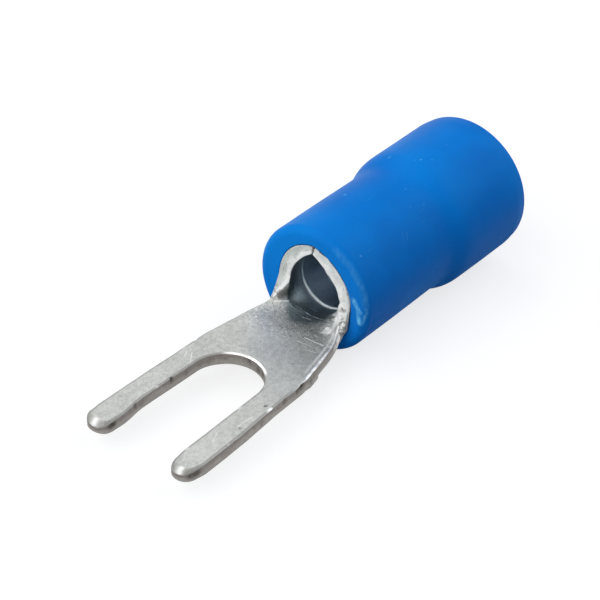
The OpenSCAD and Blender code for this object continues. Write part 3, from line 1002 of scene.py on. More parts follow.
@dataclass
class ForkTerminal:
    """The stamped and rolled metal piece: fork, neck and crimp barrel.

    The whole piece is laid as one sheet of points. A sheet point has a zone and two
    coordinates: x and y on the fork, x and the unrolled distance from the centre line on the
    neck, x and the angle from the lowest line on the barrel. The masks of wear, of burnish with
    painted highlights and of painted shade are starts and runs in the same coordinates.

    Fields:
        sheet_t, prong_reach, slot_w, mouth_w, prong_tip_w: Sheet, prongs and slot.
        shoulder_w, shoulder_x, shoulder_r: The widest place and its rounding.
        bend_x, bend_l, neck_w, bend_power: The neck, which folds up ever faster.
        neck_wrap, root_wrap: Degrees that half the neck wraps round the barrel, and the extra
            that its side takes where it turns into the barrel's front edge.
        bore_r, barrel_l, mouth_l: The barrel and the length over which its mouth grows round.
        corner_bulge, corner_phi, corner_spread: The mouth's lower corners.
        peak, peak_phi, seam_thin: The mouth's peak, and how much thinner the sheet is there.
        seam_gap, notch_w, notch_l: The seam and the notch at its front.
        groove_first, groove_pitch, groove_count, groove_w, groove_d: The grooves.
        edge_r, roll_over: Rounding of the barrel's edges and of the fork's upper edge.
        side_round, end_round: Width of the tips' rounding at their sides and ends.
        edge_drop, side_drop, end_drop: How deep the upper rounding reaches along the fork, at
            the tips' sides and at their ends.
        low_edge_r, low_side_r, low_end_r, low_root_r: Radius of the lower rounding along the
            fork, and what it gains at the tips' sides and ends and at the near root.
        tip_fade: Length over which a tip's rounding fades out.
        mouth_lean, neck_lean, far_tip_lean, near_prong_lean: The real part's asymmetry.
        root_crinkle: Depth of the crumpled metal at the near root.
        front_wave, front_swing, front_fade: Dent, its swing and its reach on the front edge.
        front_ragged, side_ragged, front_chip, side_chip: Raggedness and chips of the edges.
        plate_wave, crease_d, jog_d: Depth of the plate's waves, the crease and the lower jog.
        tip_highlight, tip_highlight_angle, tip_highlight_spread: The painted highlight on each tip's edge.
        slot_shade, outer_shade, end_shade: Painted shade on the edge at the slot, outside and ends.
        back_angle: Angle round the slot's centre at which the neck's first points start.
        cells_across, tip_cells, prong_cells, arc_cells, back_cells, neck_rows, root_rows,
            side_cells: How finely each stretch is divided.
        trough_y, trough_x: Border of the painted shade over the neck's bend, as places across and along the
            neck.
        nicks: Dents in the cut side.
        points, outline, quads: The sheet as it is laid.
    """

    sheet_t: float = SHEET_T
    prong_reach: float = 5.25
    slot_w: float = 3.1
    mouth_w: float = 3.36
    prong_tip_w: float = 1.0
    shoulder_w: float = 5.08
    shoulder_x: float = 1.7
    shoulder_r: float = 2.0
    bend_x: float = 3.0
    bend_l: float = 2.25
    neck_w: float = 3.8
    neck_wrap: float = 72.0
    root_wrap: float = 24.0
    bend_power: float = 5.0
    bore_r: float = BORE_R
    barrel_l: float = 5.5
    mouth_l: float = 0.8
    corner_bulge: float = 0.32
    corner_phi: float = 50.0
    corner_spread: float = 18.0
    peak: float = 0.3
    peak_phi: float = 100.0
    seam_thin: float = 0.2
    seam_gap: float = 0.05
    notch_w: float = 0.19
    notch_l: float = 0.3
    groove_first: float = 0.98
    groove_pitch: float = 1.3
    groove_count: int = 3
    groove_w: float = 0.17
    groove_d: float = 0.08
    edge_r: float = 0.055
    roll_over: float = 0.11
    side_round: float = 0.15
    end_round: float = 0.34
    edge_drop: float = 0.05
    side_drop: float = 0.14
    end_drop: float = 0.30
    low_edge_r: float = 0.035
    low_side_r: float = 0.02
    low_end_r: float = 0.07
    low_root_r: float = 0.14
    tip_fade: float = 0.55
    mouth_lean: float = 0.14
    neck_lean: float = 0.10
    far_tip_lean: float = 0.16
    near_prong_lean: float = 0.12
    root_crinkle: float = 0.026
    front_wave: float = 0.016
    front_swing: float = 0.014
    front_fade: float = 0.2
    front_ragged: float = 0.028
    side_ragged: float = 0.011
    front_chip: float = 0.040
    side_chip: float = 0.006
    plate_wave: float = 0.005
    crease_d: float = 0.022
    jog_d: float = 0.085
    # A painted highlight on each tip's edge.
    tip_highlight: float = 0.55
    tip_highlight_angle: float = 195.0
    tip_highlight_spread: float = 18.0
    # Painted shade on the fork's rounded edges.
    slot_shade: float = 0.60
    outer_shade: float = 0.38
    end_shade: float = 0.15
    back_angle: float = 38.0
    cells_across: int = 14
    tip_cells: int = 9
    prong_cells: int = 84
    arc_cells: int = 22
    back_cells: int = 72
    neck_rows: int = 26
    root_rows: int = 12
    side_cells: int = 30
    trough_y: tuple[float, ...] = (-2.0, -0.75, -0.55, -0.23, 0.17, 0.5, 0.84, 1.15, 1.7)
    trough_x: tuple[float, ...] = (5.7, 5.3, 5.0, 4.76, 4.58, 4.59, 4.82, 5.05, 5.3)
    nicks: tuple[Nick, ...] = (
        Nick((1.66, -2.52), 0.24, 0.15, 0.74, 0.22, 1.0),
        Nick((1.40, -2.55), 0.14, 0.08, 0.66, 0.20, 0.8),
        Nick((2.30, -2.42), 0.16, 0.05, 0.35, 0.25, 0.5),
        Nick((1.09, 2.57), 0.12, 0.08, 0.85, 0.3, 0.8),
        Nick((-1.33, 1.58), 0.09, 0.09, 0.95, 0.3, 0.9),
        Nick((-3.39, 1.62), 0.12, 0.05, 0.80, 0.3, 0.5),
        Nick((-2.60, -2.66), 0.13, 0.05, 0.85, 0.3, 0.5),
        Nick((0.55, -2.56), 0.16, 0.05, 0.70, 0.3, 0.5),
        Nick((1.35, -0.78), 0.13, 0.07, 0.55, 0.25, 0.6),
        Nick((1.50, -0.38), 0.12, 0.06, 0.30, 0.25, 0.5),
        Nick((1.53, 0.10), 0.10, 0.04, 0.70, 0.25, 0.4),
        Nick((-0.9, -2.60), 0.2, 0.04, 0.5, 0.3, 0.35),
        Nick((-4.72, 1.62), 0.30, 0.035, 0.78, 0.35, 0.95),
        Nick((-4.80, -2.66), 0.40, 0.02, 0.72, 0.40, 0.75),
    )
    points: list[tuple[int, float, float]] = field(default_factory=list)
    outline: dict[int, tuple[int, float, float]] = field(default_factory=dict)
    quads: list[tuple[int, int, int, int]] = field(default_factory=list)

    @property
    def barrel_r(self) -> float:
        """Outside radius of the barrel, which is also its axis height."""
        return self.bore_r + self.sheet_t

    @property
    def barrel_x(self) -> float:
        """Place of the barrel's front edge."""
        return self.bend_x + self.bend_l

    @property
    def tip_r(self) -> float:
        """Radius of a prong's round end."""
        return self.prong_tip_w / 2.0

    @property
    def tip_x(self) -> float:
        """Place of the centre of a prong's round end."""
        return self.tip_r - self.prong_reach

    @property
    def tip_y(self) -> float:
        """Distance of a prong's round end from the centre line."""
        return self.mouth_w / 2.0 + self.tip_r

    @property
    def middle_r(self) -> float:
        """Radius of the middle of the barrel's sheet."""
        return self.bore_r + self.sheet_t / 2.0

    @property
    def root_r(self) -> float:
        """Radius of the hollow corner between the neck's side and the barrel's front edge."""
        return self.middle_r * math.radians(self.root_wrap)

    @property
    def root_x(self) -> float:
        """Place where the neck's side starts to turn up into the barrel's front edge."""
        return self.barrel_x - self.root_r

    def taper_half(self, x: float) -> float:
        """Half width of the tongue and neck behind the shoulder."""
        share = (min(x, self.barrel_x) - self.shoulder_x) / (self.barrel_x - self.shoulder_x)
        return (self.shoulder_w + (self.neck_w - self.shoulder_w) * share) / 2.0

    def outer_half(self, x: float) -> float:
        """Half width of the fork and tongue along their outside.

        Args:
            x: Place along the fork.

        Returns:
            Half of the width there, with the shoulder's corner rounded.
        """
        tip_y = self.mouth_w / 2.0 + self.prong_tip_w
        slope_a = (self.shoulder_w / 2.0 - tip_y) / (self.shoulder_x - self.tip_x)
        slope_b = (self.neck_w - self.shoulder_w) / 2.0 / (self.barrel_x - self.shoulder_x)
        turn = math.atan(slope_a) - math.atan(slope_b)
        reach = self.shoulder_r * math.tan(turn / 2.0)
        corner = self.shoulder_w / 2.0
        off = x - self.shoulder_x
        if off <= -reach:
            return corner + slope_a * off
        if off >= reach:
            return corner + slope_b * off
        u = (off + reach) / (2.0 * reach)
        a, c = corner - slope_a * reach, corner + slope_b * reach
        return (1 - u) ** 2 * a + 2 * u * (1 - u) * corner + u * u * c

    def slot_half(self, x: float) -> float:
        """Half width of the slot ahead of its round end, whose centre is at x = 0."""
        return (self.slot_w + (self.mouth_w - self.slot_w) * min(1.0, -x / self.prong_reach)) / 2.0

    def near_tip(self, x: float | np.ndarray) -> float | np.ndarray:
        """Share of the tip's larger side rounding at a place along a prong, 1 at the tip."""
        return fall(x, self.tip_x, self.tip_fade)

    def inset(self, x: float) -> float:
        """Width of the upper edge's rounding at a place along a prong."""
        return self.roll_over + (self.side_round - self.roll_over) * float(self.near_tip(x))

    def root_turn(self, x: np.ndarray) -> np.ndarray:
        """How far the neck's side has turned up into the barrel's front edge, from 0 to 1."""
        step = np.clip((x - self.root_x) / self.root_r, 0.0, 1.0)
        return 1.0 - np.sqrt(1.0 - step ** 2)

    def roll_rate(self, x: np.ndarray) -> np.ndarray:
        """Degrees round the barrel for each unrolled millimetre of the neck.

        Args:
            x: Places along the neck.

        Returns:
            The rate at each place.
        """
        turn = self.root_turn(x)
        half = np.array([self.taper_half(v) for v in np.atleast_1d(x)])
        return (self.neck_wrap + self.root_wrap * turn) / (half + self.root_r * turn)

    def mouth_radius(self, phi: np.ndarray, x: np.ndarray, side: Side) -> np.ndarray:
        """Radius of the rolled sheet's face round the barrel's axis.

        Args:
            phi: Angle from the barrel's lowest line, in degrees.
            x: Place along the barrel.
            side: Which face of the sheet.

        Returns:
            The radius in millimetres.
        """
        pressed = fall(x, self.barrel_x, self.mouth_l)
        bulge = self.corner_bulge * bell(np.abs(phi), self.corner_phi, self.corner_spread)
        up = np.maximum((np.abs(phi) - self.peak_phi) / (180.0 - self.peak_phi), 0.0)
        if side is Side.UNDER:
            return self.barrel_r + pressed * (bulge + self.peak * up ** 1.5)
        radius = self.bore_r + pressed * (bulge + (self.peak + self.seam_thin) * up ** 3)
        deep = 0.35 + 0.65 * np.exp(-(((phi + 5.0) / 70.0) ** 4))
        for k in range(self.groove_count):
            off = np.abs(x - self.groove_x(k))
            radius = radius + self.groove_d * deep * fall(off, 0.0, self.groove_w / 2.0)
        return radius

    def groove_x(self, k: int) -> float:
        """Place of one of the grooves, counted from the barrel's mouth."""
        return self.barrel_x + self.groove_first + k * self.groove_pitch

    def polar(self, x: np.ndarray, radius: np.ndarray, phi: np.ndarray) -> np.ndarray:
        """Points round the barrel's axis, at angles in degrees from its lowest line."""
        a = np.radians(phi)
        return np.stack([x, radius * np.sin(a), self.barrel_r - radius * np.cos(a)], axis=-1)

    def leaned(self, points: np.ndarray, phi: np.ndarray) -> np.ndarray:
        """Push the pressed mouth a little to one side, as the tool left it.

        Args:
            points: Points round the barrel's axis.
            phi: Their angles from the lowest line, in degrees.

        Returns:
            The moved points.
        """
        pressed = fall(points[:, 0], self.barrel_x, self.mouth_l)
        moved = points.copy()
        moved[:, 1] -= self.mouth_lean * pressed * np.sin(np.radians(np.abs(phi))) ** 2
        return moved

    def add_point(self, zone: Zone, a: float, b: float) -> int:
        """Add a sheet point. Returns its number."""
        self.points.append((zone.value, a, b))
        return len(self.points) - 1

    def tip_point(self, p: float, q: float, inset: Pair) -> Pair:
        """Point of the +Y prong's round end, p of the way out and q across, cut by an inset."""
        return (self.tip_x - (self.tip_r - inset[0]) * p * math.sqrt(1 - q * q / 2),
                self.tip_y + (self.tip_r - inset[1]) * q * math.sqrt(1 - p * p / 2))

    def half_rungs(self) -> list[Rung]:
        """Rungs across the +Y half of the fork, ahead of the back of the slot.

        Returns:
            For each rung its points from the slot to the outside, each as the place in the
            flat part and the place on the outline that belongs to it.
        """
        shares = self.across()
        turns = [2.0 * s - 1.0 for s in shares]
        flat, rim = (self.end_round, self.side_round), (0.0, 0.0)
        rungs = []
        for k in range(self.tip_cells):
            p = 1.0 - k / self.tip_cells
            rungs.append([(self.tip_point(p, q, flat), self.tip_point(p, q, rim)) for q in turns])
        for k in range(self.prong_cells):
            x = self.tip_x * (1.0 - k / self.prong_cells)
            lo, hi, r = self.slot_half(x), self.outer_half(x), self.inset(x)
            rungs.append([((x, lo + r + (hi - lo - 2 * r) * s), (x, lo + (hi - lo) * s)) for s in shares])
        for k in range(self.arc_cells):
            u = k / self.arc_cells
            x = self.bend_x * u
            rungs.append(self.back_rung(90.0 + (self.back_angle - 90.0) * u, x, self.outer_half(x)))
        return rungs

    def across(self) -> list[float]:
        """Shares of the way across a prong at which its points stand."""
        return crowded(self.cells_across, share=0.45)

    def spread(self) -> list[float]:
        """Places of a row's points across the neck, from 1 at +Y to -1."""
        return [1.0 - 2.0 * v for v in crowded(self.back_cells, share=0.4)]

    def back_rung(self, angle: float, x: float, y: float, open_end: bool = True) -> Rung:
        """A rung from the slot's round end to a point of the outside or of the neck's start.

        Args:
            angle: Angle of its inner end round the slot's centre, in degrees.
            x: Place of the outer end.
            y: Distance of the outer end from the centre line.
            open_end: Whether the outer end lies on the outline.

        Returns:
            The rung's points, each in the flat part and on the outline.
        """
        a = math.radians(angle)
        r = self.slot_w / 2.0
        tight = r + self.roll_over
        inner, rim = (tight * math.cos(a), tight * math.sin(a)), (r * math.cos(a), r * math.sin(a))
        outer = (x, y - self.roll_over * (1 if y > 0 else -1)) if open_end else (x, y)
        return [((inner[0] + (outer[0] - inner[0]) * s, inner[1] + (outer[1] - inner[1]) * s),
                 (rim[0] + (x - rim[0]) * s, rim[1] + (y - rim[1]) * s)) for s in self.across()]

    def fork_rungs(self) -> list[list[int]]:
        """Lay rungs of sheet points across the fork, from one tip to the other.

        Returns:
            The rungs, each running from the slot to the outside.
        """
        half = self.half_rungs()
        reach = self.taper_half(self.bend_x) - self.roll_over
        back = [self.back_rung(self.back_angle * v, self.bend_x, v * reach, False) for v in self.spread()]
        mirrored = [[((a, -b), (c, -d)) for (a, b), (c, d) in rung] for rung in reversed(half)]
        rungs = []
        for rung in half + back + mirrored:
            row = []
            for flat, rim in rung:
                number = self.add_point(Zone.FORK, *flat)
                self.outline[number] = (Zone.FORK.value, *rim)
                row.append(number)
            rungs.append(row)
        corner = self.taper_half(self.bend_x)
        for y, rung in ((corner, rungs[len(half)]), (-corner, rungs[len(half) + self.back_cells])):
            self.outline[rung[-1]] = (Zone.FORK.value, self.bend_x, y)
        return rungs

    def neck_edges(self) -> list[tuple[float, float, float, float]]:
        """Side of the neck, row by row, from behind the first row to the barrel's front edge.

        Returns:
            For each row the place and half width of the flat part and those of the outline.
        """
        edges = []
        wide = self.root_r + self.edge_r
        for i in range(1, self.neck_rows + 1):
            x = self.bend_x + (self.root_x - self.bend_x) * i / self.neck_rows
            roll = self.roll_over + (self.edge_r - self.roll_over) * i / self.neck_rows
            edges.append((x, self.taper_half(x) - roll, x, self.taper_half(x)))
        for i in range(1, self.root_rows + 1):
            a = 0.5 * math.pi * i / self.root_rows
            x, x_rim = self.root_x + wide * math.sin(a), self.root_x + self.root_r * math.sin(a)
            edges.append((x, self.taper_half(x) + self.root_r - wide * math.cos(a),
                          x_rim, self.taper_half(x_rim) + self.root_r * (1.0 - math.cos(a))))
        return edges

    def stations(self) -> list[float]:
        """Places along the barrel where its rings stand, close together at the mouth and grooves.

        Returns:
            The places, from the end of the front edge's rounding to the start of the rear one.
        """
        first, end = self.barrel_x + self.edge_r, self.barrel_x + self.barrel_l - self.edge_r
        rings, pitch, apart = 13, 0.11, 0.04
        marks = {round(first + (self.mouth_l - self.edge_r) * k / rings, 4) for k in range(rings + 1)}
        for k in range(self.groove_count):
            marks |= {round(self.groove_x(k) + self.groove_w * s / 8, 4) for s in range(-5, 6)}
        x = self.barrel_x + self.mouth_l
        while x < end - pitch / 2.0:
            if min(abs(x - m) for m in marks) > apart:
                marks.add(round(x, 4))
            x += pitch
        marks.add(end)
        return sorted(marks)

    def seam_angle(self, width: float) -> float:
        """Angle that a width across the seam takes at the middle of the sheet, in degrees."""
        return math.degrees(width / self.middle_r)

    def lay_sheet(self) -> None:
        """Lay all the sheet points and quads: fork, neck and barrel as one sheet."""
        rungs = self.fork_rungs()
        for a, b in zip(rungs, rungs[1:]):
            for t in range(self.cells_across):
                self.quads.append((a[t], b[t], b[t + 1], a[t + 1]))
        first = self.tip_cells + self.prong_cells + self.arc_cells
        row = [rungs[first + k][-1] for k in range(self.back_cells + 1)]
        for x, half, x_rim, half_rim in self.neck_edges()[:-1]:
            new = [self.add_point(Zone.NECK, x, v * half) for v in self.spread()]
            self.outline[new[0]] = (Zone.NECK.value, x_rim, half_rim)
            self.outline[new[-1]] = (Zone.NECK.value, x_rim, -half_rim)
            self.stitch(row, new)
            row = new
        self.lay_barrel(row)

    def lay_barrel(self, row: list[int]) -> None:
        """Lay the barrel's rings of sheet points and quads.

        Args:
            row: The neck's last row, which the first ring joins.
        """
        root_end = self.neck_wrap + self.root_wrap
        stations = self.stations()
        seam = 180.0 - self.seam_angle(self.seam_gap / 2.0)
        last = seam - self.seam_angle(self.edge_r)
        shares = crowded(self.side_cells, share=0.3)
        wing = [root_end + (last - root_end) * s for s in reversed(shares[1:])]
        angles = wing + [v * root_end for v in self.spread()] + [-a for a in reversed(wing)]
        for x in stations:
            new = [self.add_point(Zone.BARREL, x, phi) for phi in angles]
            for number, sign in ((new[0], 1.0), (new[-1], -1.0)):
                self.outline[number] = (Zone.BARREL.value, x, sign * seam)
            if x in (stations[0], stations[-1]):
                x_rim = self.barrel_x + (0.0 if x == stations[0] else self.barrel_l)
                for number, phi in zip(new, angles):
                    edge = seam * (1 if phi > 0 else -1) if abs(phi) >= last else phi
                    self.outline[number] = (Zone.BARREL.value, x_rim, edge)
            lower = new[self.side_cells:self.side_cells + self.back_cells + 1]
            self.stitch(row, lower if x == stations[0] else new)
            row = new

    def stitch(self, row: list[int], new: list[int]) -> None:
        """Add quads between two rows of sheet points, of which the second lies farther back."""
        for k in range(len(row) - 1):
            self.quads.append((row[k], row[k + 1], new[k + 1], new[k]))

    def face_points(self, table: np.ndarray, side: Side) -> np.ndarray:
        """Place sheet points on one face of the sheet.

        Args:
            table: Zone and two coordinates, one row a point.
            side: Which face.

        Returns:
            One row a point, in millimetres.
        """
        zone, a, b = table.T
        height = self.sheet_t if side is Side.UPPER else 0.0
        out = np.zeros((len(table), 3))
        flat = zone != Zone.BARREL.value
        shift = self.neck_lean * rise(a[flat], 1.5, 3.0) - self.prong_lean(a[flat], b[flat])
        out[flat] = np.stack([a[flat], b[flat] + shift, np.full(flat.sum(), height)], axis=-1)
        neck = zone == Zone.NECK.value
        x, s = a[neck], b[neck]
        phi = s * self.roll_rate(x) if len(x) else s
        rolled = self.polar(x, self.mouth_radius(phi, np.maximum(x, self.barrel_x), side), phi)
        fold = np.clip((x - self.bend_x) / self.bend_l, 0.0, 1.0) ** self.bend_power
        out[neck] += (self.leaned(rolled, phi) - out[neck]) * fold[:, None]
        barrel = zone == Zone.BARREL.value
        x, phi = a[barrel], b[barrel]
        if side is Side.UNDER:
            open_share = np.maximum(0.0, 1.0 - (x - self.barrel_x) / self.notch_l) ** 1.3
            extra = self.seam_angle((self.notch_w - self.seam_gap) / 2.0)
            lip = np.clip((np.abs(phi) - 150.0) / 28.0, 0.0, 1.0) ** 2
            phi = phi - np.sign(phi) * extra * open_share * lip
        out[barrel] = self.leaned(self.polar(x, self.mouth_radius(phi, x, side), phi), phi)
        return out

    def prong_lean(self, x: np.ndarray, y: np.ndarray) -> np.ndarray:
        """How far the far tip's inside and the near prong's outside stand out, towards -Y.

        Args:
            x: Places along the fork.
            y: Places across it.

        Returns:
            The shift of each place, in millimetres.
        """
        far = rise(-x, 2.9, 1.3) * np.clip(2.75 - y, 0.0, 1.0) * (y > 1.0)
        near = rise(x, -5.1, 0.9) * fall(x, -2.6, 3.4) * np.clip(-y - 1.65, 0.0, 1.0) * (y < -1.0)
        return self.far_tip_lean * far + self.near_prong_lean * near

    def crease(self, x: np.ndarray, y: np.ndarray) -> np.ndarray:
        """Share of the fine crease that the tool left just inside the near edge."""
        half = np.array([self.taper_half(v) for v in x])
        return bell(y + half, 0.24, 0.045) * rise(x, 2.0, 0.4) * fall(x, 4.7, 0.5)

    def wear(self, points: np.ndarray, table: np.ndarray, side: Side) -> None:
        """Wave the front edge, jog the lower edge under the shoulder, dent the upper face.

        Args:
            points: Points of one face, in millimetres, which are moved in place.
            table: Their zones and coordinates.
            side: Which face.
        """
        barrel = table[:, 0] == Zone.BARREL.value
        front = barrel & (table[:, 1] < self.barrel_x + self.front_fade)
        fade = np.clip(1.0 - (table[front, 1] - self.barrel_x) / self.front_fade, 0.0, 1.0)
        phi = np.radians(table[front, 2])
        read_r, apart = 1.6, 0.1
        around = np.stack([np.full(front.sum(), side.value * apart), read_r * np.sin(phi),
                           -read_r * np.cos(phi)], axis=-1)
        points[front, 0] += (self.front_wave + self.front_swing * SmoothNoise(5, 0.4).at(around)) * fade
        flat = ~barrel
        x, y = table[flat, 1], table[flat, 2]
        if side is Side.UNDER:
            jog = rise(x, 1.9, 0.3) * fall(x, 2.82, 0.16)
            from_edge = np.array([self.outer_half(v) for v in x]) + y
            points[flat, 1] -= self.jog_d * jog * (y < 0) * np.clip(1.0 - from_edge / 0.3, 0.0, 1.0)
            return
        inwards = np.array([0.0, 0.0, self.barrel_r]) - points * np.array([0.0, 1.0, 1.0])
        inwards /= np.maximum(np.linalg.norm(inwards, axis=1), 0.1)[:, None]
        crinkle = self.root_crinkle * self.root_share(table) * SmoothNoise(34, 0.24).at(points)
        points += crinkle[:, None] * inwards
        soft = 1.0 + np.clip(SmoothNoise(3, 1.6).at(points[flat]), -1.0, 1.0)
        points[flat, 2] -= self.plate_wave * soft + self.crease_d * self.crease(x, y)

    def worn_face(self, table: np.ndarray, side: Side) -> np.ndarray:
        """Place sheet points on one face and wear it.

        Args:
            table: Zones and coordinates of the points.
            side: Which face.

        Returns:
            One row a point, in millimetres.
        """
        points = self.face_points(table, side)
        self.wear(points, table, side)
        return points

    def shade_in_hollows(self, table: np.ndarray) -> np.ndarray:
        """How much painted shade the upper face gets over the neck's bend and inside the barrel, less where
        the near side is lit.

        Args:
            table: Zones and coordinates of the sheet points.

        Returns:
            A share for each point.
        """
        _, x, b = table.T
        border = np.interp(b, self.trough_y, self.trough_x)
        soft = 0.35 + 0.5 * rise(-b, -0.3, 0.8)
        lit = rise(-b, 24.0, 14.0) * fall(x, 5.95, 0.25) * (b < 0)
        rolled = (0.9 - 0.6 * rise(x, 5.6, 0.7)) * (1.0 - 0.9 * lit)
        return self.by_zone(table, 0.9 * rise(x, border - 0.6 * soft, soft), rolled)

    def by_zone(self, table: np.ndarray, neck: np.ndarray, barrel: np.ndarray) -> np.ndarray:
        """Pick each point's share from the neck's or the barrel's, with none on the fork."""
        rolled = np.where(table[:, 0] == Zone.BARREL.value, barrel, 0.0)
        return np.where(table[:, 0] == Zone.NECK.value, neck, rolled)

    def edge_burnish_highlight(self, points: np.ndarray) -> np.ndarray:
        """How much burnish and painted highlight the upper edge gets: along the slot's back and the near
        side, a painted highlight on the tips, and flecks.

        Args:
            points: Points of the outline.

        Returns:
            A share for each point.
        """
        x, y = points[:, 0], points[:, 1]
        angle = np.degrees(np.abs(np.arctan2(y, np.maximum(x, TINY))))
        slot = (np.hypot(x, y) < self.slot_w / 2.0 + 0.07) & (x > 0.5)
        back = slot * fall(angle, 34.0, 14.0)
        near = (y < -1.0) * rise(x, 1.75, 0.3)
        wave = np.clip(0.75 + 0.5 * SmoothNoise(32, 0.5).at(points), 0.3, 1.0)
        # Burnish along the slot's back and the near side, with the painted highlight of the rounded edge.
        burnished = np.maximum(back, near) * wave
        flecks = 0.9 * np.clip(SmoothNoise(31, 0.6).at(points) - 0.9, 0.0, 1.0) * (1.0 - self.near_tip(x))
        # A painted highlight on each tip's rounded end.
        turn = np.degrees(np.arctan2(y - np.sign(y) * self.tip_y, x - self.tip_x)) % 360.0
        tip = self.tip_highlight * bell(turn, self.tip_highlight_angle, self.tip_highlight_spread) * (x < self.tip_x)
        return np.clip(np.maximum(np.maximum(burnished, flecks), tip), 0.0, 1.0)

    def root_share(self, table: np.ndarray) -> np.ndarray:
        """Where the near side was pressed against the barrel and crinkled, with burnish and a painted sheen
        on its upper face.

        Args:
            table: Zones and coordinates of the sheet points.

        Returns:
            A share for each point.
        """
        _, x, b = table.T
        neck = rise(x, 4.5, 0.4) * rise(-b, 0.85, 0.35)
        ring = rise(-b, 26.0, 14.0) * fall(-b, 92.0, 14.0) * fall(x, 5.85, 0.25) * (b < 0)
        return self.by_zone(table, neck, ring)

    def face_burnish_highlight(self, table: np.ndarray, upper: np.ndarray) -> np.ndarray:
        """How much burnish and painted highlight the upper face gets: along the crease, at the near root
        and in the first groove.

        Args:
            table: Zones and coordinates of the sheet points.
            upper: The points on the upper face.

        Returns:
            A share for each point.
        """
        zone, x, b = table.T
        crease = 0.55 * self.crease(x, b) * (zone < Zone.BARREL.value)
        lumps = np.clip(0.75 + 0.7 * SmoothNoise(33, 0.35).at(upper), 0.0, 1.0)
        groove = 0.85 * bell(x, self.groove_x(0), 0.07) * fall(np.abs(b + 5.0), 40.0, 50.0)
        groove = groove * (zone == Zone.BARREL.value)
        return np.maximum(np.maximum(crease, self.root_share(table) * lumps), groove)

    def tip_shares(self, rims: np.ndarray) -> tuple[np.ndarray, np.ndarray]:
        """How near each point is to a prong's tip, where the rounding is fuller.

        Args:
            rims: Zones and coordinates of the outline.

        Returns:
            The shares that count for the rounding at a tip's sides and at its end.
        """
        fork = rims[:, 0] == Zone.FORK.value
        end = np.clip((self.tip_x - rims[:, 1]) / self.tip_r, 0.0, 1.0) ** 1.5
        return self.near_tip(rims[:, 1]) * fork, end * fork

    def pinched(self, rims: np.ndarray) -> np.ndarray:
        """Where the near side was pinched round as the mouth was pressed.

        Args:
            rims: Zones and coordinates of the outline.

        Returns:
            A share for each point.
        """
        zone, x, b = rims.T
        turned = np.where(zone == Zone.BARREL.value, b, -95.0)
        share = bell(turned, -88.0, 24.0) * rise(x, self.root_x, 0.3)
        return share * (b < 0) * (zone > Zone.FORK.value) * (x < self.barrel_x + TINY)

    def front_edge(self, rims: np.ndarray) -> np.ndarray:
        """Which points of the outline belong to the barrel's front edge.

        Args:
            rims: Zones and coordinates of the outline.

        Returns:
            A truth value for each point.
        """
        zone, x, _ = rims.T
        turned_up = (zone == Zone.BARREL.value) | (x > self.barrel_x - 0.62 * self.root_r)
        return (zone > Zone.FORK.value) & (x < self.barrel_x + TINY) & turned_up

    def edge_painted_shade(self, table: np.ndarray, rims: np.ndarray) -> np.ndarray:
        """How much painted shade the fork's rolled-over upper edge gets, most of all in the slot.

        Args:
            table: Zones and coordinates of the sheet points.
            rims: Zones and coordinates of the outline.

        Returns:
            A share for each point.
        """
        shaded = np.where(rims[:, 2] < table[:, 2], self.slot_shade, self.outer_shade)
        shaded = shaded * (table[:, 0] == Zone.FORK.value) * fall(rims[:, 1], 0.9, 0.5)
        return shaded + self.end_shade * self.tip_shares(rims)[1]

    def build(self, materials: list[bpy.types.Material]) -> bpy.types.Object:
        """Build the terminal.

        Args:
            materials: Plate, sheared side and front edge, in the order of Surface.

        Returns:
            The terminal's object.
        """
        self.lay_sheet()
        table = np.array(self.points, dtype=float)
        rims = table.copy()
        for number, place in self.outline.items():
            rims[number] = place
        under, upper = self.worn_face(table, Side.UNDER), self.worn_face(table, Side.UPPER)
        low_corner, high_corner = self.worn_face(rims, Side.UNDER), self.worn_face(rims, Side.UPPER)
        near_side, near_end = self.tip_shares(rims)
        drop = self.edge_drop + (self.side_drop - self.edge_drop) * near_side
        drop += (self.end_drop - self.side_drop) * near_end
        low_round = self.low_edge_r + self.low_end_r * near_end + self.low_side_r * near_side
        low_round += self.low_root_r * self.pinched(rims)
        front = self.front_edge(rims)
        ragged = np.where(front, self.front_ragged, self.side_ragged) * (1.0 - 0.7 * near_side)
        chip = np.where(front, self.front_chip, self.side_chip) * (1.0 - near_side)
        # Painted shade over the bend, the barrel and the fork's edges, and burnish with painted highlights.
        dull = self.shade_in_hollows(table)
        tones = {"dull": (dull, np.maximum(0.5 * dull, self.edge_painted_shade(table, rims))),
                 "shine": (self.face_burnish_highlight(table, upper), self.edge_burnish_highlight(high_corner))}
        kinds = np.where(front, Surface.FRONT_EDGE.value, Surface.SHEARED.value)
        shell = SheetShell(under, upper, low_corner, high_corner, drop, low_round, ragged, chip, tones,
                           np.array(self.quads), kinds, self.nicks)
        return make_piece("terminal_metal", *shell.build(), materials)


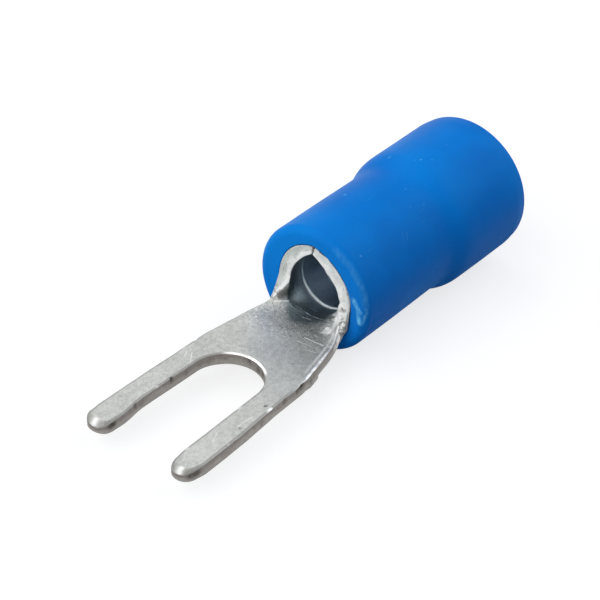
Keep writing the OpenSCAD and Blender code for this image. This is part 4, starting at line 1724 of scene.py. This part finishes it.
@dataclass
class InsulatingSleeve:
    """The moulded sleeve: soft front rim, cone, bell mouth and a stepped hole.

    Fields:
        sleeve_x, sleeve_l: Place of its front face and its length.
        front_r, rear_r, front_rim_r, rear_rim_r: Outside radii and rims.
        rear_ease, ease_l: How much the rear end narrows, and over which length.
        socket_l, step_l, step_run, funnel_l, funnel_r, entry_r: The barrel's socket, the cone
            over its end, how far its ends run out, the funnel and the wire entry.
        fit_gap, inner_rim_r: Gap round the barrel, and rounding of the hole's two rims.
        mouth_hold: Length over which the hole follows the pressed mouth in fine steps.
        skin_r: Radius beyond which a ring belongs to the skin, which is waved.
        skin_wave, scuff_d, scuff_angle, scuff_spread, scuff_x, scuff_l: The wave, and the
            scuffed place of the front rim.
        segments: Points round each ring.
    """

    sleeve_x: float = 5.29
    sleeve_l: float = 10.8
    front_r: float = 2.82
    rear_r: float = 3.14
    front_rim_r: float = 0.38
    rear_rim_r: float = 0.18
    rear_ease: float = 0.05
    ease_l: float = 0.45
    socket_l: float = 5.48
    step_l: float = 1.2
    step_run: float = 0.3
    funnel_l: float = 1.4
    funnel_r: float = 1.4
    entry_r: float = 2.15
    fit_gap: float = 0.02
    inner_rim_r: float = 0.05
    mouth_hold: float = 0.85
    skin_r: float = 2.3
    skin_wave: float = 0.010
    scuff_d: float = 0.035
    scuff_angle: float = -72.0
    scuff_spread: float = 16.0
    scuff_x: float = 0.35
    scuff_l: float = 0.45
    segments: int = 288

    def arc(self, cx: float, cr: float, r: float, a0: float, a1: float, steps: int) -> list[Pair]:
        """Points of an arc in the profile, from one angle to another, 0 along the axis."""
        angles = [math.radians(a0 + (a1 - a0) * k / steps) for k in range(steps + 1)]
        return [(cx + r * math.cos(a), cr + r * math.sin(a)) for a in angles]

    def outside(self) -> list[Pair]:
        """Profile of the outside, from the front rim to the rear rim.

        Returns:
            Pairs of place and radius.
        """
        rim = self.front_rim_r
        cone_0, cone_1 = self.socket_l - self.step_run, self.socket_l + self.step_l + self.step_run
        middle = self.socket_l + 0.5 * self.step_l
        half, swell = 0.5 * (self.front_r + self.rear_r), 0.5 * (self.rear_r - self.front_r)
        steep, far = 1.5, (cone_1 - middle) / (0.5 * self.step_l)
        line = self.arc(rim, self.front_r - rim, rim, 180, 90, 12)
        line += [(rim + (cone_0 - rim) * (k / 30) ** 1.4, self.front_r) for k in range(1, 30)]
        for k in range(25):
            x = cone_0 + (cone_1 - cone_0) * k / 24
            u = (x - middle) / (0.5 * self.step_l)
            line.append((x, half + swell * math.tanh(steep * u) / math.tanh(steep * far)))
        end = self.sleeve_l - self.rear_rim_r
        for k in range(1, 24):
            x = cone_1 + (end - cone_1) * k / 24
            line.append((x, self.rear_r - self.rear_ease * rise(x, end - self.ease_l, self.ease_l)))
        last = self.rear_r - self.rear_ease - self.rear_rim_r
        return line + self.arc(end, last, self.rear_rim_r, 90, 0, 7)

    def straight(self, start: Pair, end: Pair, steps: int, follow: float) -> list[Triple]:
        """Points of a straight stretch of the hole's profile, without the first one."""
        return [(start[0] + (end[0] - start[0]) * k / steps, start[1] + (end[1] - start[1]) * k / steps,
                 follow) for k in range(1, steps + 1)]

    def inside(self) -> list[Triple]:
        """Profile of the hole, from the rear face to the front face.

        Returns:
            Place, radius, and how far the hole follows the barrel's pressed mouth.
        """
        grip = AXIS_Z + self.fit_gap
        r = self.inner_rim_r
        rear, start = self.sleeve_l - r, self.socket_l + self.funnel_l
        line = [(x, radius, 0.0) for x, radius in self.arc(rear, self.entry_r + r, r, 0, -90, 4)]
        line += self.straight((rear, self.entry_r), (start, self.entry_r), 13, 0.0)
        line += self.straight((start, self.entry_r), (self.socket_l, self.funnel_r), 8, 0.0)
        line += [(self.socket_l, 0.5 * (grip + self.funnel_r), 0.0), (self.socket_l, grip, 0.0)]
        line += self.straight((self.socket_l, grip), (self.mouth_hold, grip), 10, 1.0)
        line += self.straight((self.mouth_hold, grip), (r, grip), 11, 1.0)
        for a in (30, 60, 90):
            bend = math.radians(a)
            line.append((r - r * math.sin(bend), grip + r * (1 - math.cos(bend)), 1.0))
        return line

    def wear(self, points: np.ndarray, phi: np.ndarray, x: float, radius: float) -> None:
        """Wave the outside a little and scuff the front rim at one place, inwards, in place.

        Args:
            points: One ring of the outside.
            phi: Angles of its points, in degrees.
            x: Place of the ring along the sleeve.
            radius: Radius of the ring.
        """
        wave = 1.0 + np.clip(SmoothNoise(21, 5.0).at(points), -1.0, 1.0)
        near = bell(phi, self.scuff_angle, self.scuff_spread) * bell(x, self.scuff_x, self.scuff_l)
        scuff = self.scuff_d * near * np.abs(SmoothNoise(23, 0.5).at(points))
        away = points - np.array([0.0, 0.0, AXIS_Z])
        away[:, 0] = 0.0
        away /= radius
        points -= away * (self.skin_wave * wave + scuff)[:, None]

    def build(self, material: bpy.types.Material, terminal: ForkTerminal) -> bpy.types.Object:
        """Build the sleeve.

        Args:
            material: The vinyl.
            terminal: The metal piece, whose mouth the hole follows.

        Returns:
            The sleeve's object.
        """
        inner = self.inside()
        face_r = inner[-1][1]
        width, steps = self.front_r - self.front_rim_r - face_r, 8
        annulus = [(0.0, face_r + width * k / steps, 1.0 - k / steps) for k in range(1, steps)]
        profile = [(x, r, 0.0) for x, r in self.outside()] + inner + annulus
        phi = -180.0 + 360.0 * np.arange(self.segments) / self.segments
        rows = []
        for x, r, follow in profile:
            place = np.full(len(phi), self.sleeve_x + x)
            pressed = terminal.mouth_radius(phi, place, Side.UNDER) - terminal.barrel_r
            ring = terminal.polar(place, r + follow * pressed, phi)
            ring += follow * (terminal.leaned(ring, phi) - ring)
            if r > self.skin_r and not follow:
                self.wear(ring, phi, x, r)
            rows.append(ring)
        n = self.segments
        faces = []
        for k in range(len(profile)):
            this, after = k * n, (k + 1) % len(profile) * n
            for j in range(n):
                i = (j + 1) % n
                faces.append((this + j, this + i, after + i, after + j))
        return make_piece("sleeve_vinyl", np.vstack(rows), faces, [0] * len(faces), {}, [material])


@dataclass
class PaleFloor:
    """A plain white floor that the sleeve's two rims rest on, with a glow that grows outwards.

    Fields:
        front_touch, rear_touch: X and Z of the places where the rims touch it.
        half_size: Half of its side.
        paint, rough: Its grey, which takes the shadow, and its roughness.
        glow: Its own light near the object, which grows to 1.
        near, far: Distances between which the glow grows.
    """

    front_touch: Pair = (5.64, -0.99)
    rear_touch: Pair = (15.91, -1.31)
    half_size: float = 900.0
    paint: float = 0.35
    rough: float = 0.9
    glow: float = 0.75
    near: float = 60.0
    far: float = 350.0

    def build(self, studio: "Studio") -> bpy.types.Object:
        """Build the floor with its material.

        Args:
            studio: The studio, which knows the rays that see the backdrop.

        Returns:
            The floor's object.
        """
        (x0, z0), (x1, z1) = self.front_touch, self.rear_touch
        slope = (z1 - z0) / (x1 - x0)
        s = self.half_size
        corners = ((-s, -s), (s, -s), (s, s), (-s, s))
        points = np.array([(x, y, z0 + slope * (x - x0)) for x, y in corners])
        made = make_piece("floor", points, [(0, 1, 2, 3)], [0], {}, [self.material(studio)])
        return made

    def material(self, studio: "Studio") -> bpy.types.Material:
        """A matt pale floor that reads as white where it is seen and keeps its shadow.

        Args:
            studio: The studio, which knows the rays that see the backdrop.

        Returns:
            The material.
        """
        bench = NodeBench("floor_white")
        bench.shader.inputs["Base Color"].default_value = (self.paint, self.paint, self.paint, 1.0)
        bench.shader.inputs["Roughness"].default_value = self.rough
        bench.shader.inputs["Specular IOR Level"].default_value = 0.0
        bench.shader.inputs["Emission Color"].default_value = (1.0, 1.0, 1.0, 1.0)
        seen = studio.seen_directly(bench.tree)
        away = bench.vector("LENGTH", bench.coords)
        glow = bench.span(away, self.near * MM, self.far * MM, self.glow, 1.0)
        bench.plug(bench.shader.inputs["Emission Strength"], bench.times(seen, glow))
        return bench.material


@dataclass
class Studio:
    """World light, soft lamps and the camera at the photograph's viewpoint.

    Fields:
        camera_mm, azimuth, elevation, roll, lens, sensor_w: The camera, fitted to the outline.
        clip: Nearest and farthest distance that the camera sees, in metres.
        look_mm: The point that the lamps look at.
        sky, sky_tint: Strength and colour of the world's light.
        white, cool: Colours of the lamps.
        set_back: How much farther and larger a lamp's part is that isn't mirrored.
    """

    camera_mm: Triple = (-43.50, -38.667, 46.7355)
    azimuth: float = -51.182
    elevation: float = 36.095
    roll: float = 1.012
    lens: float = 114.49
    look_mm: Triple = (5.4, 0.0, 1.6)
    sky: float = 0.11
    sky_tint: Colour = (0.82, 0.89, 1.0, 1.0)
    white: Triple = (1.0, 1.0, 1.0)
    cool: Triple = (0.80, 0.88, 1.0)
    set_back: float = 1.08
    sensor_w: float = 36.0
    clip: Pair = (0.001, 10.0)

    def panel(self, name: str, towards: Triple, far: float, size: float,
              level: float, tint: Triple) -> bpy.types.Object:
        """Add a square light panel that looks at the object.

        Args:
            name: Name of the panel.
            towards: Direction from the object to the panel.
            far: Distance from the object in millimetres.
            size: Side of the square in millimetres.
            level: Share of a white surface's brightness that it gives at the object.
            tint: Colour of its light.

        Returns:
            The panel.
        """
        data = bpy.data.lights.new(name, "AREA")
        data.size = size * MM
        slant = 0.5 * size / math.hypot(far, 0.5 * size)
        glow = 0.25 * math.pi * level / (slant * math.atan(slant))
        data.energy = math.pi * glow * (size * MM) ** 2
        data.color = tint
        made = bpy.data.objects.new(name, data)
        made.location = (Vector(self.look_mm) + Vector(towards).normalized() * far) * MM
        aim = Vector(self.look_mm) * MM - made.location
        made.rotation_euler = aim.to_track_quat("-Z", "Y").to_euler()
        bpy.context.scene.collection.objects.link(made)
        return made

    def lamp(self, name: str, towards: Triple, far: float, size: float,
             level: float, tint: Triple, mirrored: float = 1.0) -> None:
        """Add a lamp of which the metal mirrors only a share, so that the plate never clips.

        Args:
            name: Name of the lamp.
            towards: Direction from the object to the lamp.
            far: Distance from the object in millimetres.
            size: Side of the lamp in millimetres.
            level: Share of a white surface's brightness that it gives at the object.
            tint: Colour of its light.
            mirrored: The share that is mirrored. The rest stands a little behind it.
        """
        self.panel(f"{name}_mirrored", towards, far, size, level * mirrored, tint)
        if mirrored < 1.0:
            far, size = far * self.set_back, size * self.set_back
            rest = self.panel(f"{name}_plain", towards, far, size, level * (1.0 - mirrored), tint)
            rest.visible_glossy = False

    def seen_directly(self, tree: bpy.types.NodeTree) -> Socket:
        """A value of 1 for camera, glossy and transmission rays, which see the backdrop.

        Args:
            tree: Node tree that the nodes go into.

        Returns:
            The value socket.
        """
        path = tree.nodes.new("ShaderNodeLightPath")
        value = path.outputs["Is Camera Ray"]
        for name in ("Is Glossy Ray", "Is Transmission Ray"):
            either = tree.nodes.new("ShaderNodeMath")
            either.operation = "MAXIMUM"
            tree.links.new(value, either.inputs[0])
            tree.links.new(path.outputs[name], either.inputs[1])
            value = either.outputs[0]
        return value

    def world(self) -> None:
        """White where the backdrop is seen or mirrored, softer as a light."""
        world = bpy.data.worlds.new("studio")
        bpy.context.scene.world = world
        world.use_nodes = True
        tree = world.node_tree
        tree.nodes.clear()
        out = tree.nodes.new("ShaderNodeOutputWorld")
        mix = tree.nodes.new("ShaderNodeMixShader")
        soft = tree.nodes.new("ShaderNodeBackground")
        plain = tree.nodes.new("ShaderNodeBackground")
        soft.inputs["Color"].default_value = self.sky_tint
        soft.inputs["Strength"].default_value = self.sky
        plain.inputs["Color"].default_value = (1.0, 1.0, 1.0, 1.0)
        tree.links.new(self.seen_directly(tree), mix.inputs[0])
        tree.links.new(soft.outputs[0], mix.inputs[1])
        tree.links.new(plain.outputs[0], mix.inputs[2])
        tree.links.new(mix.outputs[0], out.inputs[0])

    def camera(self) -> None:
        """Create the camera from the fitted viewpoint."""
        az, el, ro = (math.radians(a) for a in (self.azimuth, self.elevation, self.roll))
        back = Vector((math.sin(az) * math.cos(el), -math.cos(az) * math.cos(el), math.sin(el)))
        right = Vector((0.0, 0.0, 1.0)).cross(back).normalized()
        up = back.cross(right)
        c, s = math.cos(ro), math.sin(ro)
        right, up = c * right + s * up, -s * right + c * up
        data = bpy.data.cameras.new("view")
        data.sensor_width = self.sensor_w
        data.lens = self.lens
        data.clip_start, data.clip_end = self.clip
        made = bpy.data.objects.new("view", data)
        turn = Matrix((right, up, back)).transposed().to_4x4()
        made.matrix_world = Matrix.Translation(Vector(self.camera_mm) * MM) @ turn
        bpy.context.scene.collection.objects.link(made)
        bpy.context.scene.camera = made

    def build(self) -> None:
        """Set up world, lamps, camera and the plain view transform."""
        self.world()
        self.lamp("key_left", (-0.84, 0.28, 0.46), 400.0, 700.0, 0.82, self.white, 0.4)
        self.lamp("top_back", (0.15, 0.50, 0.85), 400.0, 300.0, 0.17, self.white)
        self.lamp("box_right", (0.68, -0.40, 0.62), 120.0, 120.0, 0.36, self.cool, 0.45)
        self.camera()
        bpy.context.scene.view_settings.view_transform = "Standard"


def settle(piece: bpy.types.Object, node: str) -> None:
    """Tie a piece to the body and hide the CAD node that it stands for.

    Args:
        piece: The visible piece.
        node: The CAD node that it replaces.
    """
    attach(piece, "root")
    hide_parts(node)
    LOG.info("%s stands for %s: %d faces", piece.name, node, len(piece.data.polygons))


def main() -> None:
    """Build the terminal, the sleeve, the floor and the studio."""
    logging.basicConfig(level=logging.INFO, format="%(message)s")
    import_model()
    terminal = ForkTerminal()
    metal = terminal.build([TinPlate().material(), ShearedMetal().material(), FrontEdgeMetal().material()])
    settle(metal, "fork_terminal")
    sleeve = InsulatingSleeve().build(BlueVinyl().material(), terminal)
    settle(sleeve, "insulating_sleeve")
    studio = Studio()
    PaleFloor().build(studio)
    LOG.info("floor laid")
    studio.build()
    LOG.info("studio set")


if __name__ == "__main__":
    main()
